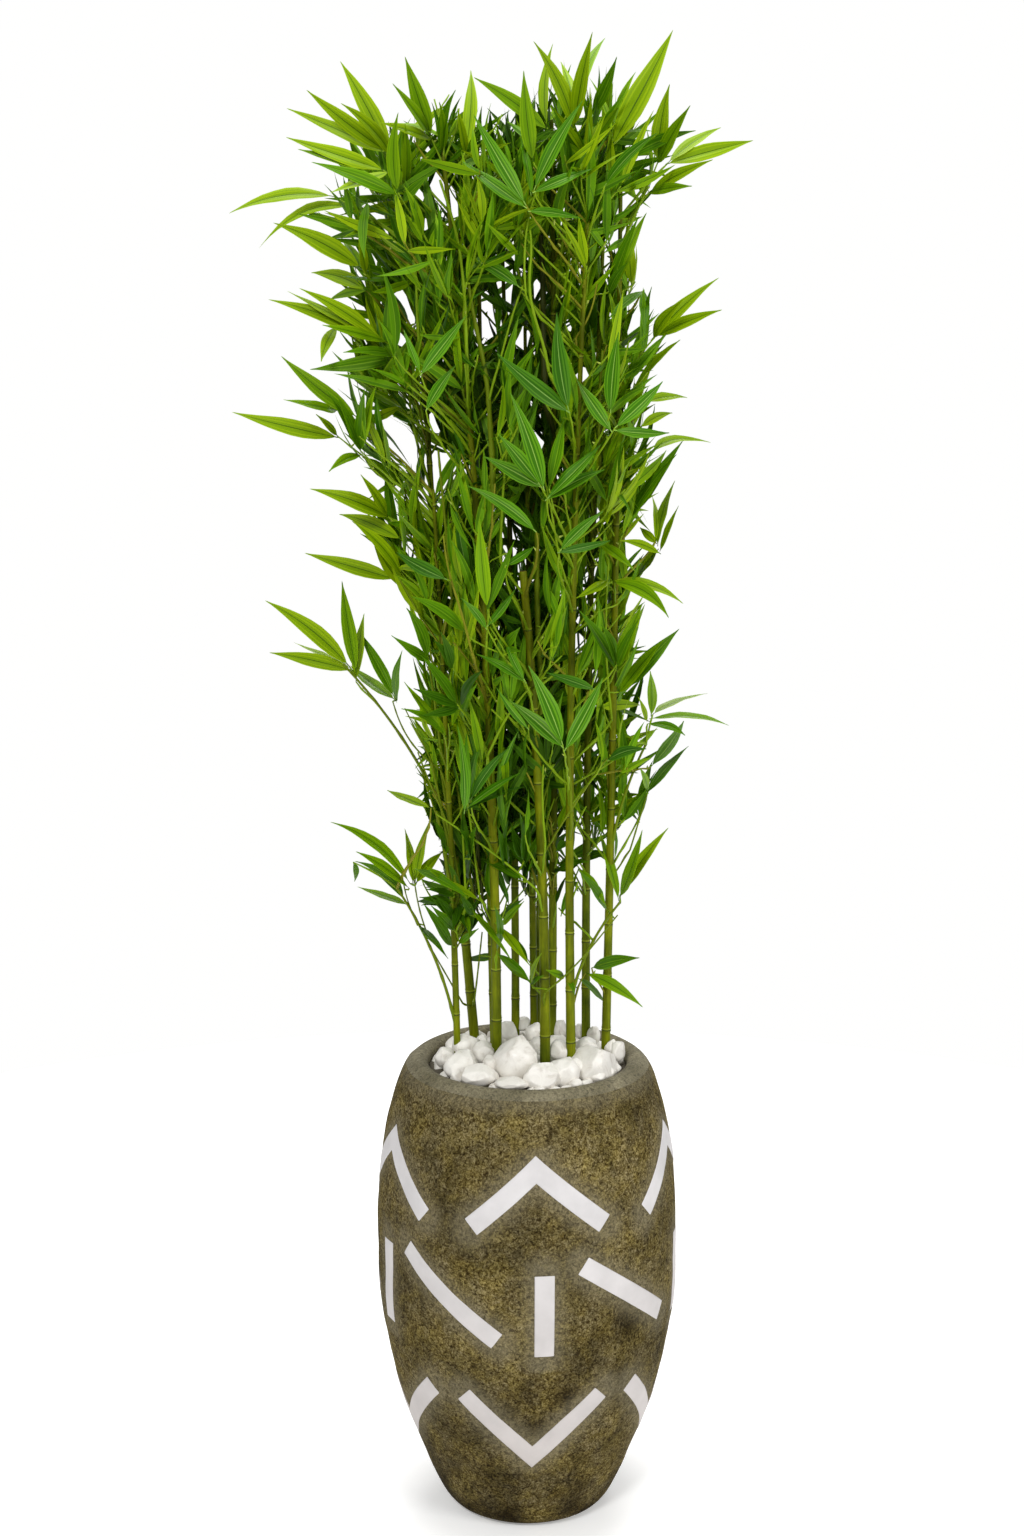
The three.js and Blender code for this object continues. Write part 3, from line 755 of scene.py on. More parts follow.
def build_pebbles():
    r = random.Random(PEBBLE_SEED)
    b = Builder()
    placed = []
    for x, y, z, hw, hh in LAID:
        x, y, z, hw, hh = x * 0.001, y * 0.001, z * 0.001, hw * 0.00108, hh * 0.00106
        out = math.hypot(x, y)
        room = 0.1350 - hw * 0.85
        if out > room:
            x, y = x * room / out, y * room / out
        placed.append((x, y, hw, z, hh, 4 if hw > 0.0205 else 3))
    tries = 0
    while tries < 16000 and len(placed) < 112:
        tries += 1
        hw = r.uniform(0.0085, 0.014) if tries > 6000 else r.uniform(0.014, 0.022)
        out = (0.1345 - hw) * (1.0 if r.random() < 0.3 else math.sqrt(r.random()))
        a = r.uniform(0, 2 * math.pi)
        x, y = out * math.cos(a), out * math.sin(a)
        layer = r.random() < 0.5
        if all(math.hypot(x - p[0], y - p[1]) > (hw + p[2]) * (0.66 if layer else 0.88) for p in placed):
            hh = hw * r.uniform(0.75, 0.98)
            top = pebble_crown(out) - r.uniform(0.0, 0.005) - (0.011 if layer else 0.0)
            if y < -0.02 and out < 0.115:
                top -= 0.004
            placed.append((x, y, hw, top - hh * 0.96, hh, 3))
    for x, y, hw, z, hh, level in placed:
        size = (hw, hw * r.uniform(0.84, 1.05), hh)
        v, f = stone_shape(size, r, level)
        v = v + np.array([x, y, z])
        away = np.hypot(v[:, 0], v[:, 1])
        limit = 0.1355
        k = np.where(away > limit, limit / away, 1.0)
        v[:, 0] *= k
        v[:, 1] *= k
        b.add(v, [], f, 0)
    # The bed under the loose stones: a low lumpy sheet, closed below, coloured dark as painted shade in the gaps
    # between the stones.
    sides, rings = 72, 16
    verts = [(0, 0, 0.650)]
    for i in range(1, rings + 1):
        rr = 0.1362 * i / rings
        for k in range(sides):
            a = 2 * math.pi * k / sides
            h = 0.646 - 0.012 * (i / rings) ** 2 + 0.005 * noise.noise(Vector((math.cos(a) * rr * 60, math.sin(a) * rr * 60, 4)))
            verts.append((rr * math.cos(a), rr * math.sin(a), h))
    low = len(verts)
    for k in range(sides):
        a = 2 * math.pi * k / sides
        verts.append((0.1362 * math.cos(a), 0.1362 * math.sin(a), 0.602))
    verts.append((0, 0, 0.602))
    a = np.arange(sides)
    c = (a + 1) % sides
    tris = [np.stack([np.zeros(sides, int), 1 + a, 1 + c], 1)]
    quads = []
    for i in range(rings - 1):
        s = 1 + i * sides
        quads.append(np.stack([s + a, s + sides + a, s + sides + c, s + c], 1))
    s = 1 + (rings - 1) * sides
    quads.append(np.stack([s + a, low + a, low + c, s + c], 1))
    tris.append(np.stack([low + c, low + a, np.full(sides, len(verts) - 1)], 1))
    b.add(verts, np.concatenate(quads), np.concatenate(tris), 1)
    return b.build("pebble_dressing", [PEBBLE, PEBBLE_GAP_SHADE])


pebbles = build_pebbles()
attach(pebbles, "root")
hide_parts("pebbles")

# -------------------------------------------------------------------- canes
# Foot x, y; middle x, y; tip x, y, z; diameter at foot and tip, in millimetres.
CANES = {
    "cane_01": ((-97, -16), (-110, -24), (-124, -34, 1430), 10.5, 4.5),
    "cane_02": ((-72, 58), (-111, 66), (-146, 74, 1740), 14.5, 5.5),
    "cane_03": ((-45, -26), (-52, -40), (-108, -50, 1850), 14.8, 5.5),
    "cane_04": ((-17, 90), (-20, 98), (-36, 116, 1800), 12.4, 4.5),
    "cane_05": ((10, 86), (4, 82), (-4, 66, 1640), 11.4, 4.5),
    "cane_06": ((15, 112), (24, 124), (44, 142, 1700), 9.5, 4.0),
    "cane_07": ((20, -48), (9, -54), (-7, -58, 1326), 15.0, 10.0),
    "cane_08": ((34, 56), (36, 52), (30, 22, 1900), 13.2, 5.0),
    "cane_09": ((61, -50), (56, -60), (74, -84, 1780), 14.0, 5.0),
    "cane_10": ((84, 52), (83, 58), (104, 66, 1870), 13.2, 4.5),
    "cane_11": ((108, 6), (114, -4), (118, -14, 1830), 13.2, 5.0),
    "cane_12": ((-46, 32), (-56, 34), (-66, 30, 1870), 11.0, 4.5),
}
REAR_CANES = ("cane_02", "cane_04", "cane_05", "cane_06", "cane_08", "cane_10", "cane_12")
CANE_LOW, CANE_FOOT, CANE_MID = 526.0, 650.0, 1120.0


class Cane:
    def __init__(self, name):
        foot, mid, tip, self.d0, self.d1 = CANES[name]
        self.name, self.top = name, tip[2]
        low = CANE_LOW
        s = (CANE_MID - low) / (self.top - low)
        start = [foot[i] - (mid[i] - foot[i]) / (CANE_MID - CANE_FOOT) * (CANE_FOOT - low) for i in (0, 1)]
        hold = [(mid[i] - (1 - s) ** 2 * start[i] - s * s * tip[i]) / (2 * s * (1 - s)) for i in (0, 1)]
        self.start, self.hold, self.tip = start, hold, tip

    def at(self, z):
        """The centre of the cane at height z (metres)."""
        s = (z * 1000 - CANE_LOW) / (self.top - CANE_LOW)
        p = [(1 - s) ** 2 * self.start[i] + 2 * s * (1 - s) * self.hold[i] + s * s * self.tip[i] for i in (0, 1)]
        return np.array([p[0] * 0.001, p[1] * 0.001, z])

    def radius(self, z):
        s = (z * 1000 - CANE_LOW) / (self.top - CANE_LOW)
        return (self.d0 + (self.d1 - self.d0) * s) * 0.0005

    @property
    def height(self):
        return self.top * 0.001


canes = {name: Cane(name) for name in CANES}
cane_nodes = {}


def build_cane(cane):
    r = random.Random(f"{SEED}{cane.name}")
    z = 0.682 + r.uniform(0.0, 0.05)
    rings = []
    gap = r.uniform(0.058, 0.078)
    while z < cane.height - 0.02:
        rings.append(z)
        gap = min(0.118, gap * r.uniform(1.02, 1.12))
        z += gap * r.uniform(0.9, 1.1)
    cane_nodes[cane.name] = rings
    cut = cane.name == "cane_07"
    rows = [(0.528, 1.0, 0)]
    z = 0.545
    stops = sorted(rings)
    profile = [(-0.0060, 1.0, 0), (-0.0030, 1.05, 0), (-0.0014, 1.13, 1), (-0.0004, 1.10, 1), (0.0003, 1.02, 2),
               (0.0014, 1.07, 2), (0.0026, 1.12, 0), (0.0050, 1.03, 0), (0.0085, 0.985, 0)]
    last = 0.545
    for k, ring in enumerate(stops + [None]):
        end = (ring - 0.0062) if ring else cane.height - (0.0012 if cut else 0.004)
        n = max(2, int((end - last) / 0.016))
        for i in range(n):
            rows.append((last + (end - last) * i / n, 1.0, 0))
        if ring:
            scale = r.uniform(0.5, 1.0)
            for dz, k_r, m in profile:
                rows.append((ring + dz, 1 + (k_r - 1) * scale, m))
            last = ring + 0.010
        else:
            rows.append((end, 1.0, 0))
            rows.append((cane.height, 0.9 if cut else 0.7, 0))
    sides = 18 if cane.d0 > 10 else 14
    verts, index, quads = [], [], []
    phase = r.uniform(0, 6.28)
    for z, k_r, m in rows:
        c = cane.at(z)
        ahead, back = cane.at(z + 0.01), cane.at(z - 0.01)
        run = (ahead - back) / np.linalg.norm(ahead - back)
        side = np.cross([0.0, 1.0, 0.0], run)
        side /= np.linalg.norm(side)
        fore = np.cross(run, side)
        for i in range(sides):
            a = 2 * math.pi * i / sides
            bulge = 1 + 0.022 * math.sin(3 * a + phase + z * 9) + 0.02 * noise.noise(
                Vector((math.cos(a), math.sin(a), z * 22)))
            rad = cane.radius(z) * k_r * bulge
            verts.append(c + rad * (math.cos(a) * side + math.sin(a) * fore))
    for j in range(len(rows) - 1):
        for i in range(sides):
            k = (i + 1) % sides
            quads.append((j * sides + i, j * sides + k, (j + 1) * sides + k, (j + 1) * sides + i))
            index.append(rows[j][2])
    verts.append(cane.at(rows[0][0]))
    verts.append(cane.at(rows[-1][0]) + np.array([0, 0, 0.0 if cut else 0.001]))
    tris = []
    n = len(rows)
    for i in range(sides):
        k = (i + 1) % sides
        tris.append((k, i, n * sides))
        tris.append(((n - 1) * sides + i, (n - 1) * sides + k, n * sides + 1))
        index += [0, 3 if cut else 0]
    # Painted shade: the rear canes take the darker copy of the skin.
    skin = CANE_SHADE if cane.name in REAR_CANES else CANE_SKIN
    piece = make_mesh(cane.name + "_stem", verts, quads, [skin, CANE_RING, CANE_SCAR, CANE_END], index, tris)
    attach(piece, "root")
    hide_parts(cane.name)
    return piece


for cane in canes.values():
    build_cane(cane)

# ------------------------------------------------------------------- boughs
centre_of, half_of = {}, {}
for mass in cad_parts:
    if mass.startswith("leaves_"):
        low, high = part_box(mass)
        centre_of[mass] = (np.array(low) + np.array(high)) / 2
        half_of[mass] = (np.array(high) - np.array(low)) / 2
# Bough: its cane, the height it leaves at, where it ends, its bow and diameters.
BOUGHS = {
    "bough_low_left": ("cane_01", 0.686, (-0.176, -0.034, 0.895), 0.10, 4.6, 3.0),
    "bough_mid_left": ("cane_02", 0.930, (-0.246, -0.010, 1.196), 0.10, 4.6, 3.0),
    "bough_low_right": ("cane_09", 0.742, (0.124, -0.050, 0.880), -0.12, 4.6, 3.0),
    "bough_mid_right": ("cane_11", 0.930, (0.158, -0.020, 1.090), -0.08, 4.6, 3.0),
}
bough_path = {}
for name, (cane, height, end, bow, d0, d1) in BOUGHS.items():
    p0, p2 = canes[cane].at(height), np.array(end)
    run = p2 - p0
    p1 = (p0 + p2) / 2 + np.array([run[2], 0.0, -run[0]]) * bow
    s = np.linspace(0, 1, 25)[:, None]
    path = (1 - s) ** 2 * p0 + 2 * s * (1 - s) * p1 + s * s * p2
    bough_path[name] = path
    b = Builder()
    radii = np.linspace(d0, d1, 25) * 0.0005
    radii[4::5] *= 1.28
    b.tube(path, radii, 10, 0)
    piece = b.build(name + "_limb", [TWIG_MATS[3]])
    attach(piece, "root")
    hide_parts(name)

# ------------------------------------------------------- crown: shape rules
# Body of the crown seen from the front: height, left edge, right edge, in mm.
OUTLINE = np.array([
    (860, -112, 128), (900, -126, 146), (954, -132, 152), (996, -134, 156), (1037, -148, 180),
    (1078, -168, 190), (1119, -162, 188), (1160, -152, 176), (1200, -152, 168), (1241, -152, 156),
    (1281, -158, 168), (1321, -194, 168), (1361, -218, 176), (1400, -230, 178), (1440, -206, 176),
    (1479, -236, 192), (1518, -276, 160), (1557, -276, 168), (1596, -270, 172), (1634, -264, 202),
    (1672, -276, 160), (1711, -254, 132), (1748, -292, 140), (1786, -304, 152), (1824, -252, 190),
    (1861, -270, 224), (1898, -256, 196), (1936, -170, 160), (1990, -150, 150),
]) * 0.001
# Highest leaf tips of the body across its width: x, z in mm.
TOP_LINE = np.array([
    (-300, 1815), (-262, 1880), (-210, 1905), (-180, 1925), (-140, 1915), (-100, 1925), (-70, 1930), (-30, 1915),
    (0, 1945), (40, 1975), (80, 1975), (120, 1965), (160, 1950), (190, 1890), (230, 1868), (290, 1850),
]) * 0.001
DEPTH_MID = 0.004
DEPTH_LINE = np.array([(880, 120), (960, 150), (1100, 168), (1300, 176), (1500, 188), (1750, 196), (1900, 180), (1990, 120)]) * 0.001
# Openings through the crown that show sky, on the plane y = 0: x, z, radius.
SKY = np.array([
    (-201, 1727, 11), (-194, 1782, 8), (-185, 1761, 8), (-159, 1667, 9), (-167, 1683, 8), (-151, 1649, 9),
    (-210, 1647, 8), (-175, 1640, 7), (-164, 1621, 8), (-241, 1615, 12), (-242, 1565, 12), (-231, 1547, 8),
    (-131, 1764, 9), (-116, 1814, 12), (-104, 1799, 11), (-93, 1785, 9), (-142, 1809, 9), (-33, 1714, 10),
    (-30, 1683, 13), (-56, 1669, 9), (-56, 1635, 13), (-7, 1623, 10), (11, 1688, 8), (70, 1578, 10),
    (12, 1475, 9), (10, 1495, 9), (-162, 1499, 12), (-153, 1479, 12), (97, 1723, 9), (122, 1799, 10),
    (114, 1752, 9), (-125, 1512, 9), (-109, 1466, 13), (-116, 1446, 12), (135, 1640, 9), (141, 1647, 8),
    (143, 1367, 14), (135, 1345, 12), (155, 1321, 12), (132, 1272, 10), (59, 1221, 10), (66, 1227, 9),
    (-105, 1284, 8), (-185, 1414, 8), (-155, 1349, 9), (141, 1108, 10), (141, 1029, 12), (151, 1075, 10),
    (-175, 1473, 8), (-162, 1463, 8), (45, 954, 9), (67, 954, 9), (-32, 905, 10), (46, 900, 10), (93, 912, 9),
]) * 0.001
# Heights, in mm, between which a cane shows in front of the leaves.
SHOWN = {
    "cane_01": [(640, 1330)], "cane_02": [(640, 835), (1380, 1580)], "cane_03": [(640, 1290), (1420, 1500)],
    "cane_04": [(640, 885), (1300, 1380)], "cane_05": [(640, 880)], "cane_06": [(640, 860)], "cane_07": [(640, 1326)],
    "cane_08": [(640, 1010), (1380, 1880)], "cane_09": [(640, 1360), (1440, 1530)],
    "cane_10": [(640, 1180), (1260, 1420), (1600, 1680)], "cane_11": [(640, 1400)], "cane_12": [(640, 840), (1180, 1260)],
}
# Thin limbs that show at the crown's face: depth, radius at foot and tip, bark,
# whether the foot joins a cane, and the course as x, z on the plane y = 0; mm.
STEMS = [
    (-90, 2.5, 1.5, 0, True, [(-79, 1563), (-80, 1593), (-81, 1615), (-81, 1634), (-82, 1656), (-82, 1679), (-85, 1703), (-87, 1723), (-90, 1743), (-92, 1760), (-98, 1780), (-109, 1804), (-114, 1824)]),
    (-75, 3.9, 2.3, 3, True, [(-46, 1414), (-46, 1446), (-47, 1476), (-49, 1500), (-50, 1517), (-52, 1532), (-51, 1550), (-53, 1569), (-58, 1588), (-62, 1608), (-65, 1628), (-70, 1647), (-72, 1656), (-76, 1672), (-78, 1693)]),
    (-77, 1.8, 1.2, 0, False, [(-51, 1544), (-50, 1556), (-45, 1570), (-38, 1588), (-33, 1608), (-28, 1628), (-23, 1648), (-17, 1664), (-13, 1677), (-7, 1691)]),
    (-118, 1.7, 1.0, 0, True, [(-3, 1677), (-4, 1698), (-7, 1717), (-6, 1730), (-3, 1754), (-2, 1774), (1, 1785), (6, 1799), (13, 1820), (17, 1829)]),
    (-120, 2.2, 1.3, 0, True, [(27, 1580), (25, 1598), (21, 1615), (14, 1631), (8, 1649), (3, 1667), (0, 1684), (0, 1702), (2, 1717), (6, 1733), (5, 1750), (2, 1761)]),
    (10, 4.2, 3.2, 4, True, [(22, 1544), (18, 1615), (19, 1656), (19, 1685), (19, 1730), (16, 1755)]),
    (-70, 1.7, 1.0, 0, True, [(75, 1677), (76, 1696), (77, 1710), (81, 1730), (81, 1752), (82, 1770), (87, 1790), (92, 1804)]),
    (-75, 1.4, 1.0, 1, True, [(62, 1624), (72, 1635), (81, 1651), (89, 1672), (89, 1693)]),
    (-60, 2.2, 1.4, 0, True, [(-142, 1615), (-144, 1637), (-145, 1656), (-145, 1672), (-145, 1689), (-144, 1707), (-147, 1722), (-150, 1737), (-153, 1754), (-157, 1767)]),
    (52, 1.7, 1.1, 0, False, [(-137, 1519), (-142, 1535), (-143, 1549), (-143, 1562), (-142, 1579)]),
    (54, 1.6, 1.0, 0, False, [(-137, 1519), (-145, 1534), (-156, 1545), (-168, 1556)]),
    (52, 1.4, 0.9, 0, False, [(-143, 1547), (-144, 1559), (-152, 1571), (-157, 1582)]),
    (40, 2.2, 1.6, 0, True, [(-142, 1473), (-150, 1500), (-152, 1518), (-155, 1539), (-156, 1552)]),
    (-30, 3.9, 3.2, 3, True, [(20, 1146), (14, 1200), (12, 1261), (11, 1281), (12, 1344), (12, 1370)]),
    (-60, 1.5, 1.0, 3, True, [(-128, 1198), (-132, 1226), (-135, 1248), (-148, 1276), (-170, 1308)]),
    (-130, 1.8, 1.1, 1, True, [(-75, 1211), (-79, 1230), (-84, 1248), (-90, 1272), (-97, 1290), (-103, 1308), (-108, 1325), (-111, 1350), (-112, 1367)]),
    (-130, 1.4, 1.1, 0, True, [(-29, 1206), (-37, 1212), (-51, 1214), (-67, 1221), (-79, 1231)]),
    (-140, 1.6, 1.2, 0, True, [(-55, 1227), (-54, 1254), (-52, 1269)]),
    (-140, 1.2, 1.0, 0, False, [(-29, 1206), (-31, 1217), (-41, 1230), (-51, 1245)]),
    (-100, 1.8, 1.3, 0, True, [(-54, 1070), (-48, 1083), (-39, 1101), (-34, 1119), (-23, 1135), (-2, 1156), (3, 1164)]),
    (-100, 1.3, 1.0, 0, False, [(-34, 1119), (-39, 1123), (-49, 1134)]),
    (-92, 2.5, 1.9, 3, True, [(59, 993), (59, 1013), (57, 1037), (56, 1068), (53, 1085)]),
    (-92, 1.4, 1.1, 3, True, [(48, 979), (55, 991), (67, 1009), (80, 1028), (97, 1055), (107, 1067)]),
    (-20, 1.4, 0.9, 3, True, [(-118, 1051), (-125, 1058), (-136, 1064), (-154, 1077), (-170, 1101), (-178, 1130), (-181, 1144)]),
    (-20, 1.2, 0.8, 3, False, [(-128, 1059), (-136, 1077), (-145, 1097), (-157, 1116), (-165, 1135)]),
    (-25, 1.4, 1.0, 3, True, [(-111, 982), (-119, 1006), (-135, 1037), (-144, 1059), (-148, 1075)]),
    (-76, 1.6, 1.2, 0, True, [(11, 886), (-10, 907), (-40, 934), (-70, 953), (-88, 965), (-107, 979), (-124, 990)]),
    (35, 1.3, 1.0, 3, True, [(-73, 726), (-65, 783), (-62, 825)]),
    (25, 1.3, 1.0, 3, True, [(-89, 724), (-106, 754), (-131, 800)]),
    (-60, 1.4, 0.9, 3, True, [(24, 739), (58, 761), (76, 784), (104, 829), (123, 849)]),
    (-10, 1.2, 0.8, 3, True, [(139, 940), (144, 954), (152, 989), (161, 1016)]),
    (-28, 2.6, 2.0, 3, True, [(-102, 853), (-106, 891), (-111, 933), (-117, 971), (-124, 994)]),
    (-35, 1.8, 1.3, 0, True, [(-84, 859), (-85, 895), (-86, 933), (-88, 962)]),
    (5, 1.5, 1.1, 4, True, [(-72, 863), (-74, 909), (-70, 946), (-65, 965)]),
    (-15, 1.2, 0.9, 3, True, [(-99, 798), (-93, 810)]),
    (-28, 1.2, 0.9, 3, False, [(-139, 828), (-147, 845), (-153, 870), (-155, 904)]),
    (-28, 1.1, 0.8, 3, False, [(-150, 834), (-162, 857), (-167, 877), (-171, 898), (-171, 911)]),
    (-100, 1.5, 1.1, 0, True, [(24, 951), (18, 989), (17, 1020), (21, 1058)]),
    (-60, 1.6, 1.2, 0, True, [(113, 1119), (105, 1173), (100, 1227), (102, 1281), (107, 1334)]),
    (-40, 1.8, 1.3, 3, True, [(-118, 1085), (-123, 1146), (-129, 1194), (-139, 1227), (-149, 1257)]),
    (-110, 1.5, 1.1, 0, True, [(42, 1334), (37, 1374), (28, 1414), (22, 1440)]),
    (-60, 2.4, 1.8, 3, True, [(95, 1453), (92, 1492), (90, 1531), (94, 1570), (97, 1608)]),
    (-80, 2.0, 1.5, 0, True, [(-37, 1334), (-38, 1387), (-33, 1440), (-28, 1479)]),
    (-60, 2.2, 1.6, 3, True, [(-101, 1281), (-103, 1334), (-110, 1387), (-116, 1440), (-118, 1479)]),
    (-22, 2.3, 1.7, 3, True, [(-96, 880), (-105, 926), (-113, 982), (-121, 1026), (-130, 1062)]),
    (-8, 2.4, 1.9, 3, True, [(-87, 849), (-93, 898), (-104, 961), (-112, 1016), (-118, 1058)]),
    (5, 2.2, 1.7, 3, True, [(-73, 863), (-80, 923), (-89, 989), (-98, 1044), (-103, 1085)]),
    (-30, 1.6, 1.2, 0, True, [(-65, 873), (-69, 923), (-78, 975), (-83, 1020)]),
    (20, 2.0, 1.6, 4, True, [(-61, 870), (-65, 926), (-69, 982), (-77, 1030)]),
    (-12, 1.6, 1.2, 3, True, [(-103, 901), (-109, 940), (-119, 979), (-129, 1009), (-140, 1037)]),
]
